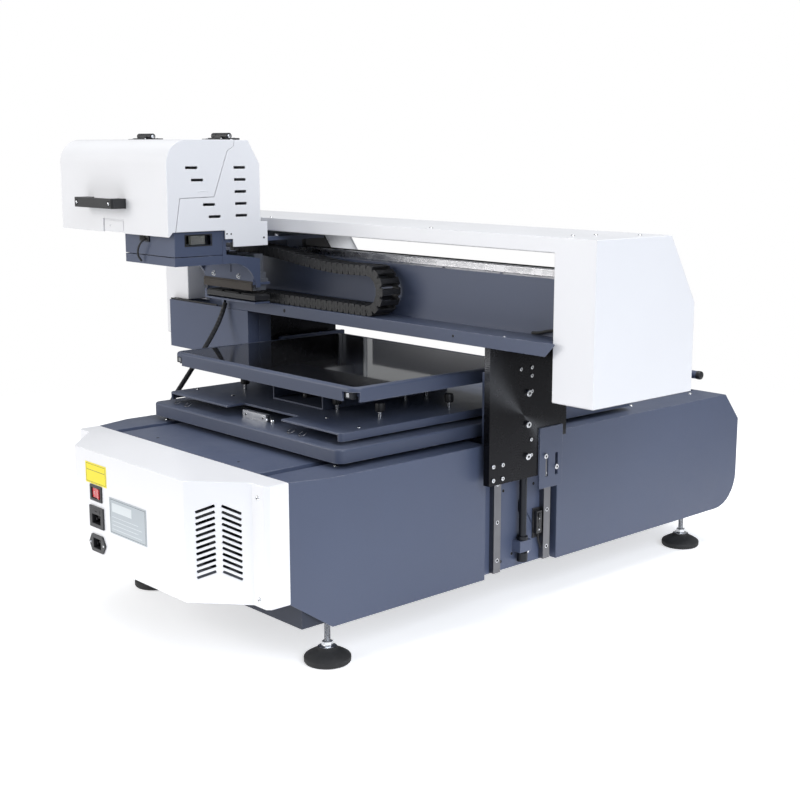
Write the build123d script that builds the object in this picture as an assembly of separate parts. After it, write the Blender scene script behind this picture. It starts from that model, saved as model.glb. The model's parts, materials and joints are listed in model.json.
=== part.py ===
"""Small flatbed UV printer: lifting gantry, sliding table, print carriage under a hinged hood.

Frame: +Z up, +X to the operator's right, the operator stands at -Y.
The origin is the centre of the footprint on the floor. All sizes are in millimetres.
"""
import os
from math import atan2, cos, degrees, hypot, pi, radians, sin

from build123d import *

# Running and assembly clearances
RUN_GAP = 0.35
FIT_GAP = 0.3
SEAM_GAP = 0.8

# Base body
SHEET = 2.5
BASE_HALF = 265.0
SKIRT_Z = 66.0
TOP_Z = 276.0
BAY_FRONT_Y = -104.0
BAY_BACK_Y = 57.0
CORNER_Y = -399.0
FACET_Y = -457.0
FACET_X = 248.0
FACET_RISE = 41.0
REAR_Y = 555.0
REAR_CHAMFER_Y = 42.0
REAR_CHAMFER_Z = 49.0
REAR_RADIUS = 60.0
GROOVE_IN = 180.0
GROOVE_OUT = 199.0

# White front cover
NOSE_Y = -555.0
NOSE_HALF = 147.0
SHOULDER_X = 216.0
SHOULDER_Y = -494.0
STRIP_X = 242.0
STRIP_BEVEL = 6.0
NOSE_BOTTOM_Z = 107.0
WHITE_SHEET = 2.0
LOUVRE_ROWS = 12
LOUVRE_PITCH = 8.26
LOUVRE_LENGTH = 28.5
LOUVRE_RISE = 11.0
LOUVRE_HEIGHT = 3.6
LOUVRE_TOP_Z = 238.5

# Frame
TUBE_IN = 205.0
TUBE_OUT = 249.0
TUBE_H = 40.0
FRAME_Z = 68.0
RAIL_BEAM_Z = 226.0
RAIL_BEAM_H = 30.0
CROSS_WIDTH = 30.0

# Feet
FOOT_X = 226.7
FOOT_FRONT_Y = -379.0
FOOT_BACK_Y = 443.7
CUP_RADIUS = 33.5
STUD_RADIUS = 4.5

# Columns and lift
COLUMN_IN = 249.0
COLUMN_T = 8.0
COLUMN_TOP_Z = 384.0
LIFT_RAIL_Y = (-80.0, 32.0)
LIFT_RAIL_W = 15.0
LIFT_RAIL_H = 10.0
LIFT_SCREW_Y = -24.0
LIFT_SCREW_R = 6.0
LIFT_BLOCK_Z = ((245.0, 299.0), (299.0,))
END_PLATE_IN = 277.0
END_PLATE_T = 12.0
END_PLATE_FRONT_Y = -122.0
END_PLATE_STEP_Y = -11.0
END_PLATE_BACK_Y = 48.0
END_PLATE_BOTTOM_Z = 219.0
END_PLATE_STEP_Z = 275.0

# Table
TABLE_HALF = 240.0
TABLE_FRONT_Y = -365.0
TABLE_BACK_Y = 275.0
TABLE_TOP_Z = 303.5
TABLE_LIP = 20.0
TABLE_SHEET = 3.5
TABLE_CORNER_R = 14.0
TABLE_RAIL_W = 12.0
TABLE_RAIL_H = 12.0
TABLE_RAIL_FRONT_Y = -450.0
TABLE_RAIL_BACK_Y = 500.0
TABLE_BLOCK_Y = (-100.0, 220.0)
TABLE_SCREW_Z = 242.0
TABLE_SCREW_R = 7.0
TABLE_SCREW_Y = (-265.0, 220.0)
TABLE_NUT_Y = -30.0
NUT_SLOT_HALF = 14.0
NUT_SLOT_Y = (-232.0, 207.0)
RISER_HALF = 220.0
RISER_FRONT_Y = -345.0
RISER_BACK_Y = 60.0
RISER_TOP_Z = 321.0
RISER_T = 3.0
RISER_LIP = 9.0
NOTCH_X = (-57.0, 82.0)
NOTCH_DEPTH = 33.0
CHANNEL_X = (-54.0, 72.0)
CHANNEL_Y = (-260.0, 0.0)
CHANNEL_WALL = 3.0
PLATFORM_HALF = 230.0
PLATFORM_FRONT_Y = -330.0
PLATFORM_BACK_Y = 17.0
PLATFORM_BOTTOM_Z = 363.0
PLATFORM_TOP_Z = 384.0
PLATFORM_RIM = 8.0
PLATFORM_CORNER_R = 18.0
PLATE_POCKET = 5.0
LEVEL_POSTS = ((-153, -243), (83, -241), (169, -230), (89, -109), (183, -103), (86, -61), (-183, -103), (-89, -109))

# Gantry
ARCH_HALF = 516.0
ARCH_INNER = 443.0
ARCH_FRONT_Y = -161.0
ARCH_BACK_Y = 55.7
ARCH_CREST_Y = -2.0
ARCH_BOTTOM_Z = 372.6
REAR_BAND_Z = 390.0
ARCH_TOP_Z = 595.6
ARCH_SHOULDER_Z = 500.0
ARCH_BAND = 21.0
BEAM_FRONT_Y = -119.0
BEAM_BACK_Y = -40.0
BEAM_BOTTOM_Z = 440.0
BEAM_TOP_Z = 535.0
BEAM_WALL = 4.0
DECK_FRONT_Y = -171.5
DECK_LEFT_X = -307.0
DECK_TIP_X = 455.0
DECK_TOP_Z = 455.0
DECK_LIP = 19.0
CAP_BOX_X = (-489.0, -243.0)
CAP_BOX_Y = (-172.0, -123.5)
CAP_BOX_Z = (350.0, 436.0)
CAP_TRAY_X = (-314.0, -174.0)
CAP_TRAY_Y = (-206.0, -175.0)
CAP_TRAY_Z = (462.0, 472.0)
RAIL_Y = (-98.0, -83.0)
RAIL_H = 10.0
RAIL_HALF = 432.0
PULLEY_R = 8.0
PULLEY_X = 412.0
PULLEY_Y = -66.0
PULLEY_Z = 541.5
PULLEY_HALF = 3.5

# Drag chain
CHAIN_Y = (-166.0, -128.0)
CHAIN_LINK = 16.0
CHAIN_BEND_R = 39.0
CHAIN_BEND_X = 62.0
CHAIN_FIX_X = -300.0
CHAIN_BASE_Z = 455.5
CHAIN_TOP_Z = 544.0

# Carriage and hood
HOOD_X = (-500.0, -164.0)
HOOD_FRONT_Y = -372.0
HOOD_BACK_Y = -198.0
HOOD_FRONT_Z = 573.0
HOOD_SIDE_Z = 580.0
HOOD_TOP_Z = 722.4
HOOD_NOSE_R = 38.0
HOOD_CHAMFER = (22.0, 38.0)
HOOD_SHEET = 2.0
SEAM = ((-244.6, 722.4), (-247.0, 712.0), (-258.6, 706.0), (-286.0, 633.0), (-349.0, 631.5), (-360.0, 580.0))
HINGE_Y = -243.0
HINGE_Z = 728.5
HINGE_R = 5.0
HINGE_X = (-433.0, -204.0)
HINGE_LENGTH = 44.0
HANDLE_X = (-410.0, -287.0)
HANDLE_Z = (613.0, 629.0)
HANDLE_REACH = 26.0
ARM_X = (-318.0, -170.0)
ARM_Z = (560.0, 566.0)
SHELF_Z = (582.0, 585.0)
SIDE_PLATE_T = 3.0
SIDE_PLATE_BACK_Y = -196.0
SIDE_ARCH_Y = -250.0
SIDE_ARCH_R = 46.0
HEAD_BOTTOM_Z = 478.0
LAMP_Y = (-358.0, -269.0)
LAMP_Z = 541.0
LAMP_BAND = 14.0


def block(x0, x1, y0, y1, z0, z1):
    """Box between two corners."""
    return Pos((x0 + x1) / 2, (y0 + y1) / 2, (z0 + z1) / 2) * Box(abs(x1 - x0), abs(y1 - y0), abs(z1 - z0))


def round_z(x, y, z0, z1, radius):
    """Upright round bar."""
    return Pos(x, y, (z0 + z1) / 2) * Cylinder(radius, z1 - z0)


def round_x(x0, x1, y, z, radius):
    """Round bar along X."""
    return Pos((x0 + x1) / 2, y, z) * Rot(0, 90, 0) * Cylinder(radius, x1 - x0)


def round_y(x, y0, y1, z, radius):
    """Round bar along Y."""
    return Pos(x, (y0 + y1) / 2, z) * Rot(90, 0, 0) * Cylinder(radius, y1 - y0)


def prism_z(points, z0, z1):
    """Outline in plan, raised from z0 to z1."""
    return Pos(0, 0, z0) * extrude(Polygon(*points, align=None), amount=z1 - z0, dir=(0, 0, 1))


def prism_x(points, x0, x1):
    """Outline given as (y, z), run from x0 to x1."""
    return extrude(Plane.YZ.offset(x0) * Polygon(*points, align=None), amount=x1 - x0, dir=(1, 0, 0))


def prism_y(points, y0, y1):
    """Outline given as (x, z), run from y0 to y1."""
    return extrude(Plane.XZ.offset(-y0) * Polygon(*points, align=None), amount=y1 - y0, dir=(0, 1, 0))


def group(*shapes):
    """Separate solids that share one node."""
    solids = []
    for shape in shapes:
        solids.extend(shape.solids())
    return Compound(solids)


def pair(shape):
    """A shape and its mirror image across the centre plane."""
    return group(shape, mirror(shape, Plane.YZ))


def fused(*shapes):
    """One solid from touching shapes."""
    result = shapes[0]
    for shape in shapes[1:]:
        result = result + shape
    return result


def rounded_plate(half, y0, y1, z0, z1, radius):
    """Plate centred on X with rounded corners in plan."""
    outline = Pos(0, (y0 + y1) / 2, z0) * RectangleRounded(2 * half, y1 - y0, radius)
    return extrude(outline, amount=z1 - z0)


# ---------------------------------------------------------------- base

def base_frame():
    tubes = []
    for side in (-1, 1):
        tubes.append(block(side * TUBE_IN, side * TUBE_OUT, -440, 470, FRAME_Z, FRAME_Z + TUBE_H))
        tubes.append(block(side * (GROOVE_IN - 5), side * (GROOVE_OUT + 6), TABLE_RAIL_FRONT_Y,
                           TABLE_RAIL_BACK_Y, RAIL_BEAM_Z, RAIL_BEAM_Z + RAIL_BEAM_H))
    for y in (-425, LIFT_RAIL_Y[0], LIFT_RAIL_Y[1], 440):
        tubes.append(block(-TUBE_IN, TUBE_IN, y - CROSS_WIDTH / 2, y + CROSS_WIDTH / 2, FRAME_Z, FRAME_Z + TUBE_H))
        for side in (-1, 1):
            tubes.append(block(side * (GROOVE_IN - 5), side * TUBE_IN, y - CROSS_WIDTH / 2,
                               y + CROSS_WIDTH / 2, FRAME_Z + TUBE_H, RAIL_BEAM_Z))
    for y in TABLE_SCREW_Y:
        tubes.append(block(5 - GROOVE_IN, GROOVE_IN - 5, y - 8, y + 8, RAIL_BEAM_Z, RAIL_BEAM_Z + RAIL_BEAM_H))
    tubes.append(block(-TUBE_IN, TUBE_IN, -440, 470, FRAME_Z, FRAME_Z + 2))
    frame = fused(*tubes)
    for y in TABLE_SCREW_Y:
        frame -= round_y(0, y - 9, y + 9, TABLE_SCREW_Z, TABLE_SCREW_R + RUN_GAP)
    for x in (-FOOT_X, FOOT_X):
        for y in (FOOT_FRONT_Y, FOOT_BACK_Y):
            frame -= round_z(x, y, FRAME_Z - 1, FRAME_Z + 22, STUD_RADIUS)
    return frame


def front_side_cover():
    plan = [(BASE_HALF, BAY_FRONT_Y), (BASE_HALF, CORNER_Y), (FACET_X, FACET_Y),
            (FACET_X - SHEET, FACET_Y), (BASE_HALF - SHEET, CORNER_Y), (BASE_HALF - SHEET, BAY_FRONT_Y)]
    skin = prism_z(plan, SKIRT_Z, TOP_Z)
    top_plan = [(BASE_HALF, BAY_FRONT_Y), (BASE_HALF, CORNER_Y), (FACET_X, FACET_Y),
                (GROOVE_OUT, FACET_Y), (GROOVE_OUT, BAY_FRONT_Y)]
    top = prism_z(top_plan, TOP_Z - SHEET, TOP_Z)
    inner = block(GROOVE_OUT, GROOVE_OUT + SHEET, FACET_Y, BAY_FRONT_Y, TOP_Z - 18, TOP_Z)
    end = block(BASE_HALF - 14, BASE_HALF, BAY_FRONT_Y - SHEET, BAY_FRONT_Y, SKIRT_Z, TOP_Z)
    wedge = prism_x([(CORNER_Y, SKIRT_Z - 1), (FACET_Y - 1, SKIRT_Z - 1), (FACET_Y - 1, SKIRT_Z + FACET_RISE),
                     (CORNER_Y, SKIRT_Z)], FACET_X - 10, BASE_HALF + 10)
    return fused(skin, top, inner, end) - wedge


def nose_plan(inset):
    """Right half outline of the white cover, moved inwards by inset."""
    shoulder = inset * 0.38
    return [(NOSE_HALF - shoulder, NOSE_Y + inset), (SHOULDER_X - shoulder, SHOULDER_Y + inset),
            (STRIP_X - shoulder, SHOULDER_Y + inset), (FACET_X - inset, SHOULDER_Y + STRIP_BEVEL + shoulder)]


def facet_frame():
    """Start, direction and outward normal of the right bevelled face, in plan."""
    run_x = SHOULDER_X - NOSE_HALF
    run_y = SHOULDER_Y - NOSE_Y
    length = hypot(run_x, run_y)
    return run_x / length, run_y / length, length


def on_facet(along, depth, z):
    """Location on the right bevelled face: X runs along it, Z is up, Y points into the machine."""
    dir_x, dir_y, _ = facet_frame()
    x = NOSE_HALF + dir_x * along - dir_y * depth
    y = NOSE_Y + dir_y * along + dir_x * depth
    return Pos(x, y, z) * Rot(0, 0, degrees(atan2(dir_y, dir_x)))


def louvres():
    """The two columns of slanted slots through the right bevelled face."""
    _, _, length = facet_frame()
    slant = degrees(atan2(LOUVRE_RISE, LOUVRE_LENGTH))
    slots = []
    for row in range(LOUVRE_ROWS):
        z = LOUVRE_TOP_Z - row * LOUVRE_PITCH
        for side in (-1, 1):
            along = length / 2 + side * 17.9
            slots.append(on_facet(along, 1, z) * Rot(0, side * slant, 0) * Box(LOUVRE_LENGTH, 8, LOUVRE_HEIGHT))
    return group(*slots)


def front_cover():
    outer = nose_plan(0)
    inner = nose_plan(WHITE_SHEET)
    back = FACET_Y - FIT_GAP
    outer_full = [(-x, y) for x, y in reversed(outer)] + outer
    inner_full = [(-x, y) for x, y in reversed(inner)] + inner
    outer_full = [(-FACET_X, back)] + outer_full + [(FACET_X, back)]
    inner_full = [(WHITE_SHEET - FACET_X, back + 1)] + inner_full + [(FACET_X - WHITE_SHEET, back + 1)]
    shell = prism_z(outer_full, NOSE_BOTTOM_Z, TOP_Z)
    shell -= prism_z(inner_full, NOSE_BOTTOM_Z - 1, TOP_Z - WHITE_SHEET)
    for cut in (louvres(), mirror(louvres(), Plane.YZ)):
        shell -= cut
    shell -= block(SWITCH_X[0], SWITCH_X[1], NOSE_Y - 1, NOSE_Y + 4, SWITCH_Z[0], SWITCH_Z[1])
    shell -= block(INLET_X[0], INLET_X[1], NOSE_Y - 1, NOSE_Y + 4, INLET_Z[0], INLET_Z[1])
    shell -= block(OUTLET_X[0], OUTLET_X[1], NOSE_Y - 1, NOSE_Y + 4, OUTLET_Z[0], OUTLET_Z[1])
    return shell


# Front panel cut-outs: the power switch, the fused inlet and the outlet
SWITCH_X = (-100.0, -72.0)
SWITCH_Z = (204.0, 224.0)
INLET_X = (-102.0, -70.0)
INLET_Z = (165.0, 191.0)
OUTLET_X = (-100.0, -73.0)
OUTLET_Z = (128.0, 148.0)


def switch_bezel():
    x0, x1 = SWITCH_X
    z0, z1 = SWITCH_Z
    flange = block(x0 - 2.5, x1 + 2.5, NOSE_Y - 2, NOSE_Y, z0 - 2, z1 + 2)
    body = block(x0 + FIT_GAP, x1 - FIT_GAP, NOSE_Y, NOSE_Y + 22, z0 + FIT_GAP, z1 - FIT_GAP)
    pocket = block(x0 + 2, x1 - 2, NOSE_Y - 3, NOSE_Y + 14, z0 + 2, z1 - 2)
    return fused(flange, body) - pocket


def power_rocker():
    """Rocker seen from above as a shallow V, turning about an upright pin."""
    x0, x1 = SWITCH_X
    middle = (x0 + x1) / 2
    half = (x1 - x0) / 2 - 2 - 1.0
    plan = [(middle - half, NOSE_Y - 0.4), (middle, NOSE_Y - 0.4), (middle + half, NOSE_Y - 3.4),
            (middle + half, NOSE_Y + 2), (middle + 4, NOSE_Y + 8), (middle - 4, NOSE_Y + 8),
            (middle - half, NOSE_Y + 4)]
    return prism_z(plan, SWITCH_Z[0] + 2.5, SWITCH_Z[1] - 2.5)


def power_inlet():
    x0, x1 = INLET_X
    z0, z1 = INLET_Z
    flange = block(x0 - 3.5, x1 + 3.5, NOSE_Y - 2.5, NOSE_Y, z0 - 3, z1 + 3)
    body = block(x0 + FIT_GAP, x1 - FIT_GAP, NOSE_Y, NOSE_Y + 26, z0 + FIT_GAP, z1 - FIT_GAP)
    well = block(x0 + 4, x1 - 4, NOSE_Y - 3, NOSE_Y + 16, z0 + 3, z1 - 9)
    return fused(flange, body) - well + pin_set((x0 + x1) / 2, (z0 + z1) / 2 - 3)


def pin_set(x, z):
    """Three flat contacts standing in an inlet."""
    pins = [block(x + dx - 1, x + dx + 1, NOSE_Y + 2, NOSE_Y + 17, z + dz - 2, z + dz + 2)
            for dx, dz in ((-7, -1.5), (7, -1.5), (0, 2.5))]
    return fused(*pins)


def power_outlet():
    x0, x1 = OUTLET_X
    z0, z1 = OUTLET_Z
    middle_x = (x0 + x1) / 2
    middle_z = (z0 + z1) / 2
    outline = [(middle_x - 23, middle_z), (middle_x - 15, middle_z - 13), (middle_x + 15, middle_z - 13),
               (middle_x + 23, middle_z), (middle_x + 15, middle_z + 13), (middle_x - 15, middle_z + 13)]
    flange = prism_y(outline, NOSE_Y - 2.5, NOSE_Y)
    body = block(x0 + FIT_GAP, x1 - FIT_GAP, NOSE_Y, NOSE_Y + 26, z0 + FIT_GAP, z1 - FIT_GAP)
    well = block(x0 + 3, x1 - 3, NOSE_Y - 3, NOSE_Y + 16, z0 + 2.5, z1 - 2.5)
    return fused(flange, body) - well + pin_set(middle_x, middle_z)


def label_plates():
    notice = block(-115, -56, NOSE_Y - 0.6, NOSE_Y, 227, 258)
    rating = block(-49, 50, NOSE_Y - 1.0, NOSE_Y, 163, 216)
    return group(notice, rating)


def centre_top_cover():
    y0 = FACET_Y
    y1 = BAY_BACK_Y
    top = block(-GROOVE_IN, GROOVE_IN, y0, y1, TOP_Z - SHEET, TOP_Z)
    walls = [block(side * (GROOVE_IN - SHEET), side * GROOVE_IN, y0, y1, RAIL_BEAM_Z + RAIL_BEAM_H, TOP_Z)
             for side in (-1, 1)]
    slot = block(-NUT_SLOT_HALF, NUT_SLOT_HALF, NUT_SLOT_Y[0], y1 + 1, TOP_Z - 5, TOP_Z + 1)
    return fused(top, *walls) - slot


def side_outline():
    """Rear half seen from the side, as (y, z), with the large lower corner as an arc."""
    points = [(BAY_BACK_Y, SKIRT_Z), (REAR_Y - REAR_RADIUS, SKIRT_Z)]
    centre_y = REAR_Y - REAR_RADIUS
    centre_z = SKIRT_Z + REAR_RADIUS
    for step in range(1, 9):
        turn = radians(-90 + 90 * step / 8)
        points.append((centre_y + REAR_RADIUS * cos(turn), centre_z + REAR_RADIUS * sin(turn)))
    points += [(REAR_Y, TOP_Z - REAR_CHAMFER_Z), (REAR_Y - REAR_CHAMFER_Y, TOP_Z), (BAY_BACK_Y, TOP_Z)]
    return points


def rear_side_cover():
    skin = prism_x(side_outline(), BASE_HALF - SHEET, BASE_HALF)
    top = block(GROOVE_OUT, BASE_HALF, BAY_BACK_Y, REAR_Y - REAR_CHAMFER_Y, TOP_Z - SHEET, TOP_Z)
    inner = block(GROOVE_OUT, GROOVE_OUT + SHEET, BAY_BACK_Y, REAR_Y - REAR_CHAMFER_Y, TOP_Z - 18, TOP_Z)
    end = block(BASE_HALF - 14, BASE_HALF, BAY_BACK_Y, BAY_BACK_Y + SHEET, SKIRT_Z, TOP_Z)
    return fused(skin, top, inner, end)


def rear_cover():
    """Wrapped sheet that closes the back, with the centre strip over the table screw."""
    half = BASE_HALF - SHEET
    outline = side_outline()
    shell = prism_x(outline, -half, half)
    inner_y = REAR_Y - SHEET
    core = [(BAY_BACK_Y - 1, SKIRT_Z - 1)]
    core += [(y - SHEET * 0.9 if y > REAR_Y - REAR_RADIUS else y, z + SHEET) for y, z in outline[1:10]]
    core += [(inner_y, TOP_Z - REAR_CHAMFER_Z - 1), (REAR_Y - REAR_CHAMFER_Y - 1, TOP_Z - SHEET),
             (BAY_BACK_Y - 1, TOP_Z - SHEET)]
    shell -= prism_x(core, -half - 1, half + 1)
    shell -= block(-half - 1, half + 1, BAY_BACK_Y - 1, REAR_Y - REAR_RADIUS - 20, SKIRT_Z - 1, SKIRT_Z + 6)
    for side in (-1, 1):
        shell -= block(side * GROOVE_IN, side * (half + 1), BAY_BACK_Y - 1, REAR_Y - REAR_CHAMFER_Y,
                       TOP_Z - 6, TOP_Z + 1)
    shell -= block(-half - 1, half + 1, BAY_BACK_Y - 1, BAY_BACK_Y + FIT_GAP, SKIRT_Z - 1, TOP_Z + 1)
    slot = block(-NUT_SLOT_HALF, NUT_SLOT_HALF, BAY_BACK_Y - 1, NUT_SLOT_Y[1], TOP_Z - 5, TOP_Z + 1)
    shell -= slot
    for row in range(6):
        shell -= block(-120, 120, REAR_Y - 10, REAR_Y + 1, 140 + row * 12, 144 + row * 12)
    return shell


def column_plate():
    x1 = COLUMN_IN + COLUMN_T
    plate = block(COLUMN_IN, x1, -98, 46, 70, COLUMN_TOP_Z)
    plate -= round_x(COLUMN_IN - 1, x1 + 1, -17, 160, 7)
    plate -= round_x(COLUMN_IN - 1, x1 + 1, -17, 172, 7)
    plate -= block(COLUMN_IN - 1, x1 + 1, -24, -10, 160, 172)
    bearing = block(x1, END_PLATE_IN - 2, LIFT_SCREW_Y - 13, LIFT_SCREW_Y + 13, 96, 114)
    bearing -= round_z(screw_x(), LIFT_SCREW_Y, 95, 115, LIFT_SCREW_R + RUN_GAP)
    return fused(plate, bearing)


def screw_x():
    return (COLUMN_IN + COLUMN_T + END_PLATE_IN) / 2


def lift_rails():
    x0 = COLUMN_IN + COLUMN_T
    rails = [block(x0, x0 + LIFT_RAIL_H, y - LIFT_RAIL_W / 2, y + LIFT_RAIL_W / 2, 72, COLUMN_TOP_Z)
             for y in LIFT_RAIL_Y]
    return pair(group(*rails))


def lift_screw():
    screw = round_z(screw_x(), LIFT_SCREW_Y, 90, COLUMN_TOP_Z - 4, LIFT_SCREW_R)
    pulley = round_z(screw_x(), LIFT_SCREW_Y, 80, 94, 8.5)
    collar = round_z(screw_x(), LIFT_SCREW_Y, 114.5, 120, 8.5)
    return fused(screw, pulley, collar)


def stepper_motors():
    """Two lift motors on the base pan and the table motor behind its screw."""
    motors = []
    for side in (-1, 1):
        x = side * (TUBE_IN - 40)
        body = block(x - 28, x + 28, -45, 10, FRAME_Z + 2, FRAME_Z + 52)
        motors.append(fused(body, round_z(x, LIFT_SCREW_Y, FRAME_Z + 52, FRAME_Z + 66, 8)))
    y0 = TABLE_SCREW_Y[1] + 8
    table = block(-28, 28, y0, y0 + 60, TABLE_SCREW_Z - 28, TABLE_SCREW_Z + 28)
    return group(*motors, table)


def foot(x, y):
    profile = Polygon((0, 0), (CUP_RADIUS - 2, 0), (CUP_RADIUS, 3), (CUP_RADIUS, 9), (CUP_RADIUS - 4, 13),
                      (15, 19), (13, 23), (0, 23), align=None)
    cup = revolve(Plane.XZ * profile, axis=Axis.Z)
    cup -= Pos(0, 0, 18) * Cylinder(STUD_RADIUS + 1.5, 16)
    return Pos(x, y, 0) * cup


def foot_stud(x, y):
    stud = round_z(x, y, 10, FRAME_Z + 21, STUD_RADIUS)
    for z0, z1 in ((24, 31), (FRAME_Z - 8, FRAME_Z)):
        stud += Pos(x, y, z0) * extrude(RegularPolygon(8.5, 6), amount=z1 - z0)
    return stud


FEET = [(x, y) for x in (-FOOT_X, FOOT_X) for y in (FOOT_FRONT_Y, FOOT_BACK_Y)]


def table_rails():
    z0 = RAIL_BEAM_Z + RAIL_BEAM_H
    middle = (GROOVE_IN + GROOVE_OUT) / 2
    rail = block(middle - TABLE_RAIL_W / 2, middle + TABLE_RAIL_W / 2, TABLE_RAIL_FRONT_Y, TABLE_RAIL_BACK_Y,
                 z0, z0 + TABLE_RAIL_H)
    return pair(rail)


def table_screw():
    y0, y1 = TABLE_SCREW_Y
    screw = round_y(0, y0 - 12, y1 + 7.5, TABLE_SCREW_Z, TABLE_SCREW_R)
    nut = round_y(0, y0 - 16, y0 - 8.5, TABLE_SCREW_Z, TABLE_SCREW_R + 4)
    return fused(screw, nut)


def limit_switches():
    """Slotted bracket and roller switch in each column bay."""
    x0 = COLUMN_IN + COLUMN_T
    body = block(x0, x0 + 8, 12, 20, 120, 150)
    roller = block(x0 + 8, x0 + 11, 13, 19, 143, 149)
    return pair(fused(body, roller))


def electronics():
    z0 = FRAME_Z + 2
    supply = block(-180, -70, -390, -180, z0, z0 + 50)
    board = block(20, 180, -390, -230, z0, z0 + 8)
    for x, y, w, h in ((40, -370, 40, 14), (100, -360, 60, 10), (60, -290, 30, 22), (120, -290, 40, 16)):
        board += block(x, x + w, y, y + 30, z0 + 8, z0 + 8 + h)
    return group(supply, board)


FAN_SIZE = 80.0
FAN_DEPTH = 25.0
FAN_Z = 193.0


def fan_frame():
    _, _, length = facet_frame()
    place = on_facet(length / 2, WHITE_SHEET + FIT_GAP + FAN_DEPTH / 2, FAN_Z)
    body = Box(FAN_SIZE, FAN_DEPTH, FAN_SIZE)
    body -= Rot(90, 0, 0) * Cylinder(FAN_SIZE / 2 - 2, FAN_DEPTH + 2)
    hub = Pos(0, FAN_DEPTH / 2 - 2, 0) * Rot(90, 0, 0) * Cylinder(15, 4)
    spokes = [Pos(0, FAN_DEPTH / 2 - 2, 0) * Rot(0, turn, 0) * Box(FAN_SIZE - 2, 4, 4) for turn in (45, 135)]
    pin = Pos(0, 2, 0) * Rot(90, 0, 0) * Cylinder(2.5, 18)
    return place * fused(body, hub, *spokes, pin)


def fan_rotor():
    _, _, length = facet_frame()
    place = on_facet(length / 2, WHITE_SHEET + FIT_GAP + FAN_DEPTH / 2, FAN_Z)
    rotor = Pos(0, -2, 0) * Rot(90, 0, 0) * Cylinder(15, 17)
    for index in range(7):
        blade = Pos(25, -2, 0) * Rot(40, 0, 0) * Box(22, 1.6, 15)
        rotor += Rot(0, index * 360 / 7, 0) * blade
    rotor -= Pos(0, 2, 0) * Rot(90, 0, 0) * Cylinder(2.56, 30)
    return place * rotor


def rear_grab_rail():
    bar = round_x(-195, 195, 531, 300, 7.5)
    posts = [fused(round_z(x, 506, TOP_Z, 300, 5), round_y(x, 503, 531, 300, 5)) for x in (-120, 120)]
    return fused(bar, *posts)


def cover_screws():
    """Button screws that hold the covers, as separate small heads."""
    heads = []
    for side in (-1, 1):
        for z in (118, 258):
            heads.append(round_y(side * 229, SHOULDER_Y - 2, SHOULDER_Y, z, 3.2))
        for y in (-352, -187, 90, 300, 470):
            heads.append(round_z(side * 217, y, TOP_Z, TOP_Z + 2.2, 3.6))
        for y in (-438, -150):
            heads.append(round_z(side * 106, y, TOP_Z, TOP_Z + 1.6, 3.2))
    return group(*heads)


# ---------------------------------------------------------------- table

def lipped_plate(half, y0, y1, top, lip, sheet, radius, edge):
    """Folded tray turned upside down, with a rounded upper edge."""
    body = rounded_plate(half, y0, y1, top - lip, top, radius)
    rim = body.faces().sort_by(Axis.Z)[-1].edges()
    body = fillet(rim, edge)
    inner = rounded_plate(half - sheet, y0 + sheet, y1 - sheet, top - lip - 1, top - sheet, radius - sheet)
    return body - inner


def table_plate():
    plate = lipped_plate(TABLE_HALF, TABLE_FRONT_Y, TABLE_BACK_Y, TABLE_TOP_Z, TABLE_LIP, TABLE_SHEET,
                         TABLE_CORNER_R, 3)
    z0 = TABLE_SCREW_Z - 13
    post = block(-11, 11, TABLE_NUT_Y - 12, TABLE_NUT_Y + 12, z0, TABLE_TOP_Z - TABLE_SHEET)
    post -= round_y(0, TABLE_NUT_Y - 13, TABLE_NUT_Y + 13, TABLE_SCREW_Z, TABLE_SCREW_R + RUN_GAP)
    return fused(plate, post)


def table_blocks():
    z_rail = RAIL_BEAM_Z + RAIL_BEAM_H
    middle = (GROOVE_IN + GROOVE_OUT) / 2
    blocks = []
    for y in TABLE_BLOCK_Y:
        body = block(middle - 8.5, middle + 8.5, y - 30, y + 30, z_rail + 4, TABLE_TOP_Z - TABLE_SHEET)
        body -= block(middle - TABLE_RAIL_W / 2 - RUN_GAP, middle + TABLE_RAIL_W / 2 + RUN_GAP, y - 31, y + 31,
                      z_rail + 3, z_rail + TABLE_RAIL_H + RUN_GAP)
        blocks.append(body)
    return pair(group(*blocks))


def riser_plate():
    plate = lipped_plate(RISER_HALF, RISER_FRONT_Y, RISER_BACK_Y, RISER_TOP_Z, RISER_LIP + RISER_T, RISER_T, 8, 1.5)
    plate -= block(-RISER_HALF + 8, RISER_HALF - 8, RISER_FRONT_Y - 1, RISER_FRONT_Y + RISER_T + 6,
                   RISER_TOP_Z - 30, RISER_TOP_Z - RISER_T)
    notch = block(NOTCH_X[0], NOTCH_X[1], RISER_FRONT_Y - 1, RISER_FRONT_Y + NOTCH_DEPTH,
                  RISER_TOP_Z - 30, RISER_TOP_Z + 1)
    return plate - notch


def table_fittings():
    """Spacers under the riser plate, levelling posts on it and the front clamp block."""
    pieces = []
    for x, y in LEVEL_POSTS:
        pieces.append(round_z(x, y, TABLE_TOP_Z, RISER_TOP_Z - RISER_T, 7))
        pin = round_z(x, y, RISER_TOP_Z, RISER_TOP_Z + 9, 3)
        head = fillet(round_z(x, y, RISER_TOP_Z + 9, RISER_TOP_Z + 23, 7).edges(), 2)
        pieces.append(fused(pin, head))
    clamp = block(-33, 27, -330, -318, TABLE_TOP_Z, TABLE_TOP_Z + 12)
    pieces.append(clamp)
    return group(*pieces)


def platform_channel():
    x0, x1 = CHANNEL_X
    y0, y1 = CHANNEL_Y
    outer = block(x0, x1, y0, y1, RISER_TOP_Z, PLATFORM_BOTTOM_Z + 8)
    inner = block(x0 + CHANNEL_WALL, x1 - CHANNEL_WALL, y0 - 1, y1 + 1, RISER_TOP_Z + CHANNEL_WALL,
                  PLATFORM_BOTTOM_Z + 8 - CHANNEL_WALL)
    return outer - inner


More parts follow.
